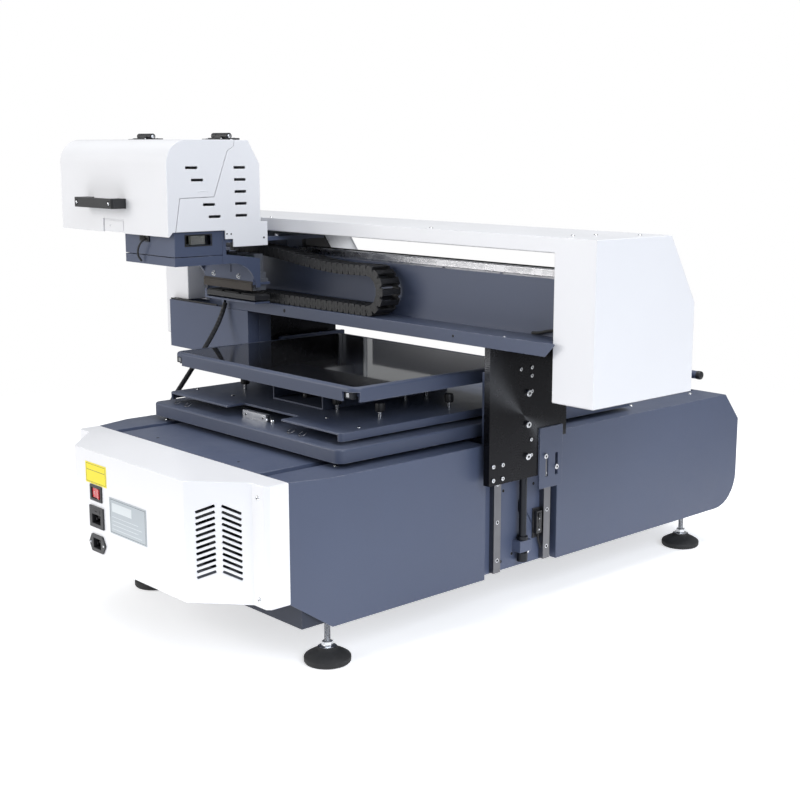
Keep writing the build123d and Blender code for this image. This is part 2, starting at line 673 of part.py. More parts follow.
def platform_frame():
    frame = rounded_plate(PLATFORM_HALF, PLATFORM_FRONT_Y, PLATFORM_BACK_Y, PLATFORM_BOTTOM_Z, PLATFORM_TOP_Z,
                          PLATFORM_CORNER_R)
    frame = fillet(frame.faces().sort_by(Axis.Z)[-1].edges(), 4)
    under = rounded_plate(PLATFORM_HALF - 3, PLATFORM_FRONT_Y + 3, PLATFORM_BACK_Y - 3, PLATFORM_BOTTOM_Z - 1,
                          PLATFORM_BOTTOM_Z + 8, PLATFORM_CORNER_R - 3)
    pocket = rounded_plate(PLATFORM_HALF - PLATFORM_RIM, PLATFORM_FRONT_Y + PLATFORM_RIM,
                           PLATFORM_BACK_Y - PLATFORM_RIM, PLATFORM_TOP_Z - PLATE_POCKET, PLATFORM_TOP_Z + 1,
                           PLATFORM_CORNER_R - PLATFORM_RIM)
    frame = frame - under - pocket
    for side in (-1, 1):
        x0 = side * (PLATFORM_HALF - 26)
        frame -= block(x0, side * (PLATFORM_HALF + 1), PLATFORM_FRONT_Y - 1, PLATFORM_FRONT_Y + 12,
                       PLATFORM_BOTTOM_Z - 1, PLATFORM_TOP_Z - 7)
    return frame


def platform_top():
    inset = PLATFORM_RIM + FIT_GAP
    return rounded_plate(PLATFORM_HALF - inset, PLATFORM_FRONT_Y + inset, PLATFORM_BACK_Y - inset,
                         PLATFORM_TOP_Z - PLATE_POCKET, PLATFORM_TOP_Z - 0.4, PLATFORM_CORNER_R - inset)


# ---------------------------------------------------------------- gantry

def end_plate():
    outline = [(END_PLATE_FRONT_Y, END_PLATE_BOTTOM_Z), (END_PLATE_STEP_Y, END_PLATE_BOTTOM_Z),
               (END_PLATE_STEP_Y, END_PLATE_STEP_Z), (END_PLATE_BACK_Y, END_PLATE_STEP_Z),
               (END_PLATE_BACK_Y, BEAM_BOTTOM_Z), (END_PLATE_FRONT_Y, BEAM_BOTTOM_Z)]
    plate = prism_x(outline, END_PLATE_IN, END_PLATE_IN + END_PLATE_T)
    x1 = END_PLATE_IN + END_PLATE_T
    bracket = block(x1, x1 + 3, END_PLATE_STEP_Y - 4, 37, 197, 293)
    for y in (2, 24):
        bracket -= block(x1 - 1, x1 + 4, y - 3, y + 3, 215, 250)
    return fused(plate, bracket)


def lift_blocks():
    x_rail = COLUMN_IN + COLUMN_T
    blocks = []
    for y, heights in zip(LIFT_RAIL_Y, LIFT_BLOCK_Z):
        for z in heights:
            body = block(x_rail + 2.5, END_PLATE_IN, y - 17, y + 17, z - 24, z + 24)
            body -= block(x_rail, x_rail + LIFT_RAIL_H + RUN_GAP, y - LIFT_RAIL_W / 2 - RUN_GAP,
                          y + LIFT_RAIL_W / 2 + RUN_GAP, z - 25, z + 25)
            blocks.append(body)
    nut = block(x_rail + 2, END_PLATE_IN, LIFT_SCREW_Y - 12, LIFT_SCREW_Y + 12, 258, 282)
    nut -= round_z(screw_x(), LIFT_SCREW_Y, 257, 283, LIFT_SCREW_R + RUN_GAP)
    blocks.append(nut)
    return pair(group(*blocks))


def beam():
    outer = block(-ARCH_INNER, ARCH_INNER, BEAM_FRONT_Y, BEAM_BACK_Y, BEAM_BOTTOM_Z, BEAM_TOP_Z)
    inner = block(-ARCH_INNER - 1, ARCH_INNER + 1, BEAM_FRONT_Y + BEAM_WALL, BEAM_BACK_Y - BEAM_WALL,
                  BEAM_BOTTOM_Z + BEAM_WALL, BEAM_TOP_Z - BEAM_WALL)
    return outer - inner


def leg_outline(inset):
    """Side view of one leg, as (y, z), moved inwards by inset."""
    return [(ARCH_FRONT_Y + inset, ARCH_BOTTOM_Z), (ARCH_BACK_Y - inset, ARCH_BOTTOM_Z),
            (ARCH_BACK_Y - inset, ARCH_SHOULDER_Z - inset * 0.3), (ARCH_CREST_Y - inset * 0.5, ARCH_TOP_Z - inset),
            (ARCH_FRONT_Y + inset, ARCH_TOP_Z - inset)]


def arch_cover():
    t = WHITE_SHEET
    whole = prism_x(leg_outline(0), -ARCH_HALF, ARCH_HALF)
    for side in (-1, 1):
        x_in = side * (ARCH_INNER + t)
        x_out = side * (ARCH_HALF - t)
        cavity = [(y, z - 1 if z == ARCH_BOTTOM_Z else z) for y, z in leg_outline(t)]
        whole -= prism_x(cavity, min(x_in, x_out), max(x_in, x_out))
    middle = [(y, z - 1 if z == ARCH_BOTTOM_Z else z) for y, z in leg_outline(t)]
    whole -= prism_x(middle, -ARCH_INNER, ARCH_INNER)
    whole -= block(-ARCH_INNER, ARCH_INNER, ARCH_FRONT_Y - 1, ARCH_FRONT_Y + 3, ARCH_BOTTOM_Z - 1,
                   ARCH_TOP_Z - ARCH_BAND)
    whole -= prism_x([(ARCH_CREST_Y - 6, ARCH_TOP_Z - ARCH_BAND), (ARCH_BACK_Y + 1, ARCH_TOP_Z - ARCH_BAND),
                      (ARCH_BACK_Y + 1, BEAM_BOTTOM_Z), (ARCH_CREST_Y - 6, BEAM_BOTTOM_Z)], -ARCH_INNER, ARCH_INNER)
    whole -= block(-ARCH_INNER, -180, ARCH_BACK_Y - 4, ARCH_BACK_Y + 1, ARCH_BOTTOM_Z - 1, BEAM_BOTTOM_Z + 1)
    whole -= block(-ARCH_INNER, ARCH_INNER, ARCH_BACK_Y - 4, ARCH_BACK_Y + 1, ARCH_BOTTOM_Z - 1, REAR_BAND_Z)
    whole -= block(CAP_BOX_X[0] - 3, -ARCH_INNER + 1, ARCH_FRONT_Y - 1, CAP_BOX_Y[1] + 3, ARCH_BOTTOM_Z - 1,
                   CAP_BOX_Z[1] + 2)
    return whole


def drip_deck():
    tip = [(DECK_LEFT_X, DECK_FRONT_Y), (DECK_TIP_X, DECK_FRONT_Y), (ARCH_INNER - 2, ARCH_FRONT_Y - 2),
           (ARCH_INNER - 2, BEAM_FRONT_Y), (DECK_LEFT_X, BEAM_FRONT_Y)]
    deck = prism_z(tip, DECK_TOP_Z - 2, DECK_TOP_Z)
    lip = prism_y([(DECK_LEFT_X, DECK_TOP_Z - DECK_LIP), (DECK_TIP_X - 17, DECK_TOP_Z - DECK_LIP),
                   (DECK_TIP_X, DECK_TOP_Z - 2), (DECK_TIP_X, DECK_TOP_Z), (DECK_LEFT_X, DECK_TOP_Z)],
                  DECK_FRONT_Y, DECK_FRONT_Y + 2)
    back = block(DECK_LEFT_X, ARCH_INNER - 2, BEAM_FRONT_Y - 2, BEAM_FRONT_Y, BEAM_BOTTOM_Z, DECK_TOP_Z)
    return fused(deck, lip, back)


def carriage_rail():
    return block(-RAIL_HALF, RAIL_HALF, RAIL_Y[0], RAIL_Y[1], BEAM_TOP_Z, BEAM_TOP_Z + RAIL_H)


def cap_station():
    """Open box under the left end of the beam, with the bracket that carries the cap tray."""
    x0, x1 = CAP_BOX_X
    y0, y1 = CAP_BOX_Y
    z0, z1 = CAP_BOX_Z
    box = block(x0, x1, y0, y1, z0, z1) - block(x0 + 2, x1 - 2, y0 + 2, y1 - 2, z0 + 2, z1 + 1)
    post = block(CAP_TRAY_X[0] - 6, CAP_TRAY_X[0], CAP_TRAY_Y[0], y1, z1 - 20, CAP_TRAY_Z[1])
    post -= block(CAP_TRAY_X[0] - 7, CAP_TRAY_X[0] + 1, CAP_TRAY_Y[0] - 1, y0, z1 - 21, CAP_TRAY_Z[0] - 6)
    shelf = block(CAP_TRAY_X[0] - 6, CAP_TRAY_X[1], CAP_TRAY_Y[0], CAP_TRAY_Y[1], CAP_TRAY_Z[0] - 6,
                  CAP_TRAY_Z[0] - 3)
    tie = block(x0 + 60, -300, y1 - 2, BEAM_FRONT_Y + 16, z1 - 2, BEAM_BOTTOM_Z)
    return fused(box, post, shelf, tie)


def cap_tray():
    """Spring-lifted tray with three soft caps that close on the heads."""
    x0, x1 = CAP_TRAY_X
    tray = block(x0 + 0.5, x1, CAP_TRAY_Y[0], CAP_TRAY_Y[1], CAP_TRAY_Z[0], CAP_TRAY_Z[1] - 2)
    for x in HEAD_X:
        rim = block(x - 20, x + 20, CAP_TRAY_Y[0] + 3, CAP_TRAY_Y[1] - 3, CAP_TRAY_Z[1] - 2, CAP_TRAY_Z[1])
        rim -= block(x - 17, x + 17, CAP_TRAY_Y[0] + 6, CAP_TRAY_Y[1] - 6, CAP_TRAY_Z[1] - 1, CAP_TRAY_Z[1] + 1)
        tray += rim
    return tray


HEAD_X = (-292.0, -244.0, -196.0)


def gantry_rear_frame():
    """Black rear panel, slanted aluminium stays and the cable plate behind the rail."""
    slope = [(ARCH_CREST_Y - 8, ARCH_TOP_Z - 4), (ARCH_CREST_Y - 4, ARCH_TOP_Z - 4),
             (ARCH_BACK_Y - 4, ARCH_SHOULDER_Z), (ARCH_BACK_Y - 4, REAR_BAND_Z),
             (ARCH_BACK_Y - 7, REAR_BAND_Z), (ARCH_BACK_Y - 7, ARCH_SHOULDER_Z - 1)]
    stay = prism_x(slope, -262, -190)
    panel = prism_x(slope, -ARCH_INNER + 2, -264)
    right = prism_x(slope, 300, ARCH_INNER - 2)
    ties = [block(x, x + 4, BEAM_BACK_Y, ARCH_BACK_Y - 7, BEAM_BOTTOM_Z + 5, BEAM_BOTTOM_Z + 40)
            for x in (-430, -230, 380)]
    plate = block(-345, -245, BEAM_BACK_Y - 5, BEAM_BACK_Y - 2, BEAM_TOP_Z, BEAM_TOP_Z + 32)
    plate -= round_y(-320, BEAM_BACK_Y - 6, BEAM_BACK_Y, BEAM_TOP_Z + 6, 4)
    return group(fused(stay, ties[1]), fused(panel, ties[0]), fused(right, ties[2]), plate)


def carriage_motor():
    x = PULLEY_X
    body = block(x - 21, x + 21, PULLEY_Y - 21, PULLEY_Y + 21, BEAM_TOP_Z - 50, BEAM_TOP_Z - BEAM_WALL)
    return body


def pulley(x):
    half = PULLEY_HALF
    wheel = round_z(x, PULLEY_Y, PULLEY_Z - half, PULLEY_Z + half, PULLEY_R)
    flanges = [round_z(x, PULLEY_Y, PULLEY_Z + s * half - 0.7, PULLEY_Z + s * half + 0.7, PULLEY_R + 2)
               for s in (-1, 1)]
    hub = round_z(x, PULLEY_Y, BEAM_TOP_Z + FIT_GAP, PULLEY_Z - half, 5)
    return fused(wheel, *flanges, hub)


def carriage_belt():
    outer = SlotCenterToCenter(2 * PULLEY_X, 2 * (PULLEY_R + 1.8 + RUN_GAP))
    inner = SlotCenterToCenter(2 * PULLEY_X, 2 * (PULLEY_R + RUN_GAP))
    return Pos(0, PULLEY_Y, PULLEY_Z - 2.5) * extrude(outer - inner, amount=5)


def strand(points):
    """Chain strand with a mean line given as (x, z)."""
    half = CHAIN_LINK / 2
    top = [(x, z + half) for x, z in points]
    bottom = [(x, z - half) for x, z in reversed(points)]
    return prism_y(top + bottom, CHAIN_Y[0], CHAIN_Y[1])


def chain_upper():
    z_bend = CHAIN_BASE_Z + 2 * CHAIN_BEND_R - CHAIN_LINK / 2
    return strand([(CHAIN_FIX_X, CHAIN_TOP_Z), (CHAIN_FIX_X + 15, CHAIN_TOP_Z), (-190, 540), (-100, 531), (-30, 525),
                   (20, z_bend - 1), (CHAIN_BEND_X, z_bend)])


def chain_lower():
    z = CHAIN_BASE_Z + CHAIN_LINK / 2
    return strand([(CHAIN_FIX_X, z), (CHAIN_BEND_X, z)])


def chain_bend():
    z = CHAIN_BASE_Z + CHAIN_BEND_R
    ring = round_y(CHAIN_BEND_X, CHAIN_Y[0], CHAIN_Y[1], z, CHAIN_BEND_R)
    ring -= round_y(CHAIN_BEND_X, CHAIN_Y[0] - 1, CHAIN_Y[1] + 1, z, CHAIN_BEND_R - CHAIN_LINK)
    ring -= block(CHAIN_BEND_X - 60, CHAIN_BEND_X, CHAIN_Y[0] - 1, CHAIN_Y[1] + 1, z - 60, z + 60)
    return ring


CABLE_POINTS = ((-300, -178, 446), (-303, -184, 425), (-301, -200, 400), (-294, -228, 370), (-282, -262, 340),
                (-268, -296, 313), (-257, -318, 297), (-253, -330, 279))


def gantry_cable():
    radii = []
    points = [Vector(*p) for p in CABLE_POINTS]
    for a, b, c in zip(points, points[1:], points[2:]):
        turn = (b - a).get_angle(c - b)
        radii.append(round(0.45 * min((b - a).length, (c - b).length) / max(0.001, sin(radians(turn / 2)) /
                                                                            cos(radians(turn / 2))), 2))
    path = FilletPolyline(*points, radius=radii)
    print("gantry_cable radii", radii, "length", round(path.length, 1))
    start = path @ 0
    heading = path % 0
    return sweep(Plane(start, z_dir=heading) * Circle(4), path=path)


# ---------------------------------------------------------------- carriage

def carriage_frame():
    x0, x1 = ARM_X
    arm = block(x0, x1, LAMP_Y[1], -62, ARM_Z[0], ARM_Z[1])
    slide = block(x0 + 38, x0 + 108, RAIL_Y[0] - 12, RAIL_Y[1] + 5, BEAM_TOP_Z + 4, ARM_Z[0])
    slide -= block(x0 + 37, x0 + 109, RAIL_Y[0] - RUN_GAP, RAIL_Y[1] + RUN_GAP, BEAM_TOP_Z + 3,
                   BEAM_TOP_Z + RAIL_H + RUN_GAP)
    sides = []
    for outer, inner in ((x1, x1 - SIDE_PLATE_T), (x0, x0 + SIDE_PLATE_T)):
        y0, z0 = LAMP_Y[1], HEAD_BOTTOM_Z + 6
        band = LAMP_Z - LAMP_BAND - 1
        outline = [(y0, SHELF_Z[0]), (y0 + 7, SHELF_Z[0]), (y0 + 7, LAMP_Z), (SIDE_PLATE_BACK_Y, LAMP_Z - 9),
                   (SIDE_PLATE_BACK_Y, z0), (y0, z0)]
        low, high = min(outer, inner), max(outer, inner)
        plate = prism_x(outline, low, high)
        plate -= round_x(low - 1, high + 1, SIDE_ARCH_Y, HEAD_BOTTOM_Z + 2, SIDE_ARCH_R)
        plate -= block(low - 1, high + 1, y0 - 1, SIDE_ARCH_Y, HEAD_BOTTOM_Z, band)
        sides.append(plate)
    web = block(x0 + SIDE_PLATE_T, x1 - SIDE_PLATE_T, -209, -206, HEAD_BOTTOM_Z + 10, LAMP_Z - 7)
    web += block(x0 + SIDE_PLATE_T, x0 + 20, -209, -206, LAMP_Z - 7, ARM_Z[0])
    web -= block(-237, -234, -210, -205, 506, 524)
    tab = block(CHAIN_FIX_X, CHAIN_FIX_X + 14, CHAIN_Y[0] + 6, CHAIN_Y[1] - 6, CHAIN_TOP_Z + CHAIN_LINK / 2, ARM_Z[0])
    shelf = block(HOOD_X[0] + 4, HOOD_X[1] - 4, HOOD_FRONT_Y + 6, HOOD_BACK_Y - 4, SHELF_Z[0], SHELF_Z[1])
    base = block(x0 + SIDE_PLATE_T, x1 - SIDE_PLATE_T, -206, -175, HEAD_BOTTOM_Z + 10, HEAD_BOTTOM_Z + 14)
    for x in HEAD_X:
        base -= block(x - 18 - FIT_GAP, x + 18 + FIT_GAP, -202 - FIT_GAP, -179 + FIT_GAP, HEAD_BOTTOM_Z,
                      HEAD_BOTTOM_Z + 20)
    return fused(arm, slide, *sides, shelf, base, web, tab)


def print_heads():
    heads = []
    for x in HEAD_X:
        face = block(x - 18, x + 18, -202, -179, HEAD_BOTTOM_Z, HEAD_BOTTOM_Z + 30)
        flange = block(x - 21, x + 21, -205, -177, HEAD_BOTTOM_Z + 14, HEAD_BOTTOM_Z + 20)
        stack = block(x - 14, x + 14, -199, -182, HEAD_BOTTOM_Z + 30, HEAD_BOTTOM_Z + 60)
        heads.append(fused(face, flange, stack))
    return group(*heads)


def lamp_box():
    x0, x1 = ARM_X
    y0, y1 = LAMP_Y
    box = block(x0, x1, y0, y1, LAMP_Z, SHELF_Z[0]) - block(x0 + 2, x1 - 2, y0 + 2, y1 - 2, LAMP_Z - 1, SHELF_Z[0] - 2)
    box -= block(x1 - 3, x1 + 1, -338, -290, 558, 574)
    box -= block(x0 + 47, x0 + 77, y0 - 1, y0 + 3, 562, 574)
    gap = LAMP_Z - 1
    tray = block(x0, x1, y0, y1, gap - LAMP_BAND, gap) - block(x0 + 2, x1 - 2, y0 + 2, y1 + 1,
                                                              gap - LAMP_BAND + 2, gap + 1)
    tray -= block(x0 + 12, x1 - 12, y0 + 16, y1 - 16, gap - LAMP_BAND - 1, gap)
    link = [block(x, x + 2, y1 - 12, y1, gap - 4, LAMP_Z + 8) for x in (x0 + 2, x1 - 4)]
    return fused(box, tray, *link)


def uv_lamp():
    x0, x1 = ARM_X
    body = block(x0 + 14, x1 - 14, LAMP_Y[0] + 18, LAMP_Y[1] - 18, LAMP_Z - LAMP_BAND, SHELF_Z[0] - 2)
    return body


def hood_outline():
    """Side view of the hood, as (y, z)."""
    points = [(HOOD_FRONT_Y, HOOD_FRONT_Z)]
    for step in range(9):
        turn = radians(180 - 90 * step / 8)
        points.append((HOOD_FRONT_Y + HOOD_NOSE_R + HOOD_NOSE_R * cos(turn),
                       HOOD_TOP_Z - HOOD_NOSE_R + HOOD_NOSE_R * sin(turn)))
    points += [(HOOD_BACK_Y - HOOD_CHAMFER[0], HOOD_TOP_Z), (HOOD_BACK_Y, HOOD_TOP_Z - HOOD_CHAMFER[1]),
               (HOOD_BACK_Y, HOOD_SIDE_Z), (HOOD_FRONT_Y + 8, HOOD_SIDE_Z), (HOOD_FRONT_Y + 2, HOOD_FRONT_Z)]
    return points


def hood_shell():
    t = HOOD_SHEET
    x0, x1 = HOOD_X
    shell = prism_x(hood_outline(), x0, x1)
    inner = []
    for y, z in hood_outline()[1:-3]:
        dy = t if y < -300 else -t
        inner.append((y + (dy if y < -340 or y > -230 else 0), z - (t if z > 640 else 0)))
    core = [(HOOD_FRONT_Y + t, HOOD_FRONT_Z - 1)] + inner + [(HOOD_BACK_Y - t, HOOD_FRONT_Z - 1)]
    return shell - prism_x(core, x0 + t, x1 - t)


def seam_region(offset):
    """Everything in front of the seam, moved forwards by offset."""
    line = [(y - offset, z + (offset if index in (3, 4) else 0)) for index, (y, z) in enumerate(SEAM)]
    line[0] = (line[0][0], HOOD_TOP_Z + 5)
    line[-1] = (line[-1][0], HOOD_FRONT_Z - 5)
    return line + [(HOOD_FRONT_Y - 5, HOOD_FRONT_Z - 5), (HOOD_FRONT_Y - 5, HOOD_TOP_Z + 5)]


def hood_vents(x0, x1):
    """Cooling slots through one cheek."""
    slots = []
    for index in range(5):
        slots.append((-237 + index * 0.5, 679 - index * 19))
    for y, z in ((-327, 679), (-317, 660), (-296, 621.6), (-286, 602.5)):
        slots.append((y, z))
    return group(*[block(x0, x1, y - 11, y + 11, z - 2, z + 2) for y, z in slots])


def hood_rear():
    x0, x1 = HOOD_X
    shell = hood_shell() - prism_x(seam_region(0), x0 - 1, x1 + 1)
    for a, b in ((x0 - 1, x0 + 3), (x1 - 3, x1 + 1)):
        shell -= hood_vents(a, b)
    y1 = HOOD_BACK_Y + 2
    split = SHELF_Z[0] + 2
    bracket = block(-284, x1 - HOOD_SHEET, HOOD_BACK_Y, y1, split, 600)
    bracket += block(-284, ARM_X[1] - SIDE_PLATE_T - 2, HOOD_BACK_Y, y1, ARM_Z[1], split)
    skirt = block(x1 - HOOD_SHEET, x1, LAMP_Y[1] + 2, HOOD_BACK_Y + 14, 553, HOOD_SIDE_Z + 12)
    skirt -= block(x1 - HOOD_SHEET - 1, x1 + 1, LAMP_Y[1] + 1, -252, 552, 566)
    return fused(shell, bracket, skirt)


def hinge_knuckle(x, y_out, reach):
    leaf = block(x - HINGE_LENGTH / 2, x + HINGE_LENGTH / 2, min(y_out, y_out + reach), max(y_out, y_out + reach),
                 HOOD_TOP_Z, HOOD_TOP_Z + 3)
    return leaf


def hood_hinges():
    """Fixed leaf and pin barrel of both hinges."""
    pieces = []
    for x in HINGE_X:
        leaf = hinge_knuckle(x, HINGE_Y, 20)
        barrel = round_x(x - HINGE_LENGTH / 2, x + HINGE_LENGTH / 2, HINGE_Y, HINGE_Z, HINGE_R)
        gap = round_x(x - 10, x + 10, HINGE_Y, HINGE_Z, HINGE_R + FIT_GAP)
        pin = round_x(x - 11, x + 11, HINGE_Y, HINGE_Z, 2)
        pieces.append(fused(fused(leaf, barrel) - gap, pin))
    return group(*pieces)


def hood_lid():
    x0, x1 = HOOD_X
    lid = intersect_region(hood_shell(), x0, x1)
    for a, b in ((x0 - 1, x0 + 3), (x1 - 3, x1 + 1)):
        lid -= hood_vents(a, b)
    lid -= block(-362, -297, HOOD_FRONT_Y - 1, HOOD_FRONT_Y + 3, HOOD_FRONT_Z - 1, HOOD_FRONT_Z + 22)
    for x in HINGE_X:
        leaf = block(x - 9.5, x + 9.5, HINGE_Y - 20, HINGE_Y - HINGE_R, HOOD_TOP_Z, HOOD_TOP_Z + 3)
        knuckle = round_x(x - 9.5, x + 9.5, HINGE_Y, HINGE_Z, HINGE_R)
        web = block(x - 9.5, x + 9.5, HINGE_Y - HINGE_R - 2, HINGE_Y, HOOD_TOP_Z + 1.4, HOOD_TOP_Z + 6)
        lid += fused(leaf, knuckle, web) - round_x(x - 12, x + 12, HINGE_Y, HINGE_Z, 2.05)
    return lid


def intersect_region(shell, x0, x1):
    return shell & prism_x(seam_region(SEAM_GAP), x0 - 1, x1 + 1)


def lid_handle():
    x0, x1 = HANDLE_X
    y0 = HOOD_FRONT_Y - HANDLE_REACH
    bar = block(x0, x1, y0, y0 + 8, HANDLE_Z[0], HANDLE_Z[1])
    bar = fillet(bar.edges().filter_by(Axis.Z), 3)
    feet = [block(x, x + 14, y0 + 4, HOOD_FRONT_Y, HANDLE_Z[0], HANDLE_Z[1]) for x in (x0, x1 - 14)]
    return fused(bar, *feet)


def ink_tanks():
    tanks = []
    for index in range(6):
        x = -484 + index * 26
        body = block(x, x + 22, -340, -240, SHELF_Z[1], SHELF_Z[1] + 80)
        cap = round_z(x + 11, -300, SHELF_Z[1] + 80, SHELF_Z[1] + 90, 7)
        tanks.append(fused(body, cap))
    return group(*tanks)


NODES = {
    "base_frame": base_frame,
    "front_side_covers": lambda: pair(front_side_cover()),
    "front_cover": front_cover,
    "centre_top_cover": centre_top_cover,
    "rear_side_covers": lambda: pair(rear_side_cover()),
    "rear_cover": rear_cover,
    "column_plates": lambda: pair(column_plate()),
    "lift_rails": lift_rails,
    "stepper_motors": stepper_motors,
    "foot_cups": lambda: group(*[foot(x, y) for x, y in FEET]),
    "foot_studs": lambda: group(*[foot_stud(x, y) for x, y in FEET]),
    "power_switch_bezel": switch_bezel,
    "power_inlet": power_inlet,
    "power_outlet": power_outlet,
    "label_plates": label_plates,
    "table_rails": table_rails,
    "limit_switches": limit_switches,
    "electronics": electronics,
    "fan_frames": lambda: pair(fan_frame()),
    "rear_grab_rail": rear_grab_rail,
    "cover_screws": cover_screws,
    "power_rocker": power_rocker,
    "fan_rotor_right": fan_rotor,
    "fan_rotor_left": lambda: mirror(fan_rotor(), Plane.YZ),
    "lift_screw_right": lift_screw,
    "lift_screw_left": lambda: mirror(lift_screw(), Plane.YZ),
    "table_screw": table_screw,
    "table_plate": table_plate,
    "table_blocks": table_blocks,
    "riser_plate": riser_plate,
    "table_fittings": table_fittings,
    "platform_channel": platform_channel,
    "platform_frame": platform_frame,
    "platform_top": platform_top,
    "end_plates": lambda: pair(end_plate()),
    "lift_blocks": lift_blocks,
    "beam": beam,
    "arch_cover": arch_cover,
    "drip_deck": drip_deck,
    "carriage_rail": carriage_rail,
    "cap_station": cap_station,
    "cap_tray": cap_tray,
    "gantry_rear_frame": gantry_rear_frame,
    "carriage_motor": carriage_motor,
    "drive_pulley": lambda: pulley(PULLEY_X),
    "idler_pulley": lambda: pulley(-PULLEY_X),
    "carriage_belt": carriage_belt,
    "drag_chain_lower": chain_lower,
    "drag_chain_upper": chain_upper,
    "drag_chain_bend": chain_bend,
    "gantry_cable": gantry_cable,
    "carriage_frame": carriage_frame,
    "print_heads": print_heads,
    "lamp_box": lamp_box,
    "uv_lamp": uv_lamp,
    "hood_rear": hood_rear,
    "hood_hinges": hood_hinges,
    "hood_lid": hood_lid,
    "lid_handle": lid_handle,
    "ink_tanks": ink_tanks,
}

os.makedirs("parts", exist_ok=True)
for name, make in NODES.items():
    export_step(make(), f"parts/{name}.step")
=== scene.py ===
"""Finishes, fittings and small parts of a flatbed UV printer, placed on its CAD frame."""
import json
from math import cos, pi, radians, sin

import bmesh
import bpy
from bpy.props import BoolProperty, FloatProperty, FloatVectorProperty, IntProperty, PointerProperty
from mathutils import Euler, Matrix, Vector


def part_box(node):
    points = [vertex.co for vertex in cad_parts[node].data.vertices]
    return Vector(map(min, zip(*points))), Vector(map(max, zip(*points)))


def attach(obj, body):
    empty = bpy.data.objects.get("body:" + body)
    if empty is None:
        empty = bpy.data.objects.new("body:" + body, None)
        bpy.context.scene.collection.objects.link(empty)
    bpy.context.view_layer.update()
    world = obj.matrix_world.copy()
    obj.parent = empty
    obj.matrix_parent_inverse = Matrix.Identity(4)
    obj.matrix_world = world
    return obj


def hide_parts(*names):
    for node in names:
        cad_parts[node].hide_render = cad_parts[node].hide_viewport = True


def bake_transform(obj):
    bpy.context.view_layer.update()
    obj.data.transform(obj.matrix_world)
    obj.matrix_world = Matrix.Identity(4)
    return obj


bl_info = {
    "name": "Flatbed printer parts",
    "version": (1, 0, 0),
    "blender": (4, 5, 0),
    "location": "View3D > Sidebar > Printer",
    "description": "Builds the finishes and small parts of a flatbed UV printer",
    "category": "Object",
}

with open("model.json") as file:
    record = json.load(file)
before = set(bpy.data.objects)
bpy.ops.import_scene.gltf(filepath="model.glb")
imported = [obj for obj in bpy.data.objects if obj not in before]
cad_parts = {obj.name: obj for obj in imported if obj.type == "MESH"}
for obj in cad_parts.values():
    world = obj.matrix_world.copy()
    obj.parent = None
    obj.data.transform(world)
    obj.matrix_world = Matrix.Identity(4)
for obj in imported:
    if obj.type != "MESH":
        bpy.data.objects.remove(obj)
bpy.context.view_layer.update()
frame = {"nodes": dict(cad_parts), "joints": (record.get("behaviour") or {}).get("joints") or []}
NODES = frame["nodes"]
JOINTS = {joint["name"]: joint for joint in frame["joints"]}
MM = 0.001
SIDES = (-1, 1)


def box_mm(node):
    """Lowest and highest corner of a CAD node, in millimetres."""
    low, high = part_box(node)
    return low / MM, high / MM


# ------------------------------------------------------------------ settings

def colour(name, description, default):
    return FloatVectorProperty(name=name, description=description, default=default, size=3, min=0, max=1,
                               subtype="COLOR")


def size(name, description, default):
    return FloatProperty(name=name, description=description, default=default, min=0, unit="LENGTH")


class FinishSettings(bpy.types.PropertyGroup):
    """Colours and edge sizes of the painted sheet metal."""

    white: colour("White enamel", "Paint of the front cover, the arch and the hood", (0.78, 0.78, 0.80))
    grey: colour("Blue-grey powder", "Powder coat of the base, the table and the beam", (0.060, 0.076, 0.128))
    anodised: colour("Black anodising", "Surface of the gantry end plates", (0.009, 0.009, 0.011))
    rubber: colour("Rubber", "Foot cups, belt and caps", (0.016, 0.016, 0.017))
    plastic: colour("Black plastic", "Chain links, sockets and handle", (0.014, 0.014, 0.016))
    rocker: colour("Rocker red", "Power switch", (0.55, 0.012, 0.016))
    notice: colour("Notice yellow", "Blank notice plate on the front", (0.83, 0.70, 0.02))
    sheet_edge: size("Sheet edge radius", "Rounding of folded sheet edges", 0.0012)
    lip_edge: size("Table lip radius", "Rounding of the table's folded lip", 0.003)


class ChainSettings(bpy.types.PropertyGroup):
    """Links of the drag chain."""

    pitch: size("Link pitch", "Distance from one link to the next", 0.0138)
    side: size("Side plate thickness", "Thickness of a link's side plates", 0.0034)
    bar: size("Bar width", "Width of the bars across the chain", 0.0078)


class FittingSettings(bpy.types.PropertyGroup):
    """Screws, feet and levelling posts."""

    socket_head: size("Cap screw radius", "Radius of the large cap screws", 0.0052)
    button_head: size("Button screw radius", "Radius of the cover screws", 0.0036)
    thread_pitch: size("Thread pitch", "Pitch of the foot studs", 0.0015)
    segments: IntProperty(name="Round segments", description="Steps round a turned part", default=28, min=12, max=96)


class StageSettings(bpy.types.PropertyGroup):
    """Camera, light and floor."""

    side_light: FloatProperty(name="Side light", description="Power of the right-hand soft box", default=80, min=0,
                              unit="POWER")
    front_light: FloatProperty(name="Front light", description="Power of the front soft box", default=98, min=0,
                               unit="POWER")
    top_light: FloatProperty(name="Top light", description="Power of the overhead soft box", default=88, min=0,
                             unit="POWER")
    floor: colour("Floor", "Plain pale floor", (0.93, 0.93, 0.94))
    fill: FloatProperty(name="Sky fill", description="Strength of the even light from all round", default=0.42, min=0)
    show_floor: BoolProperty(name="Floor", description="Add the floor under the machine", default=True)


# ------------------------------------------------------------------ shader groups

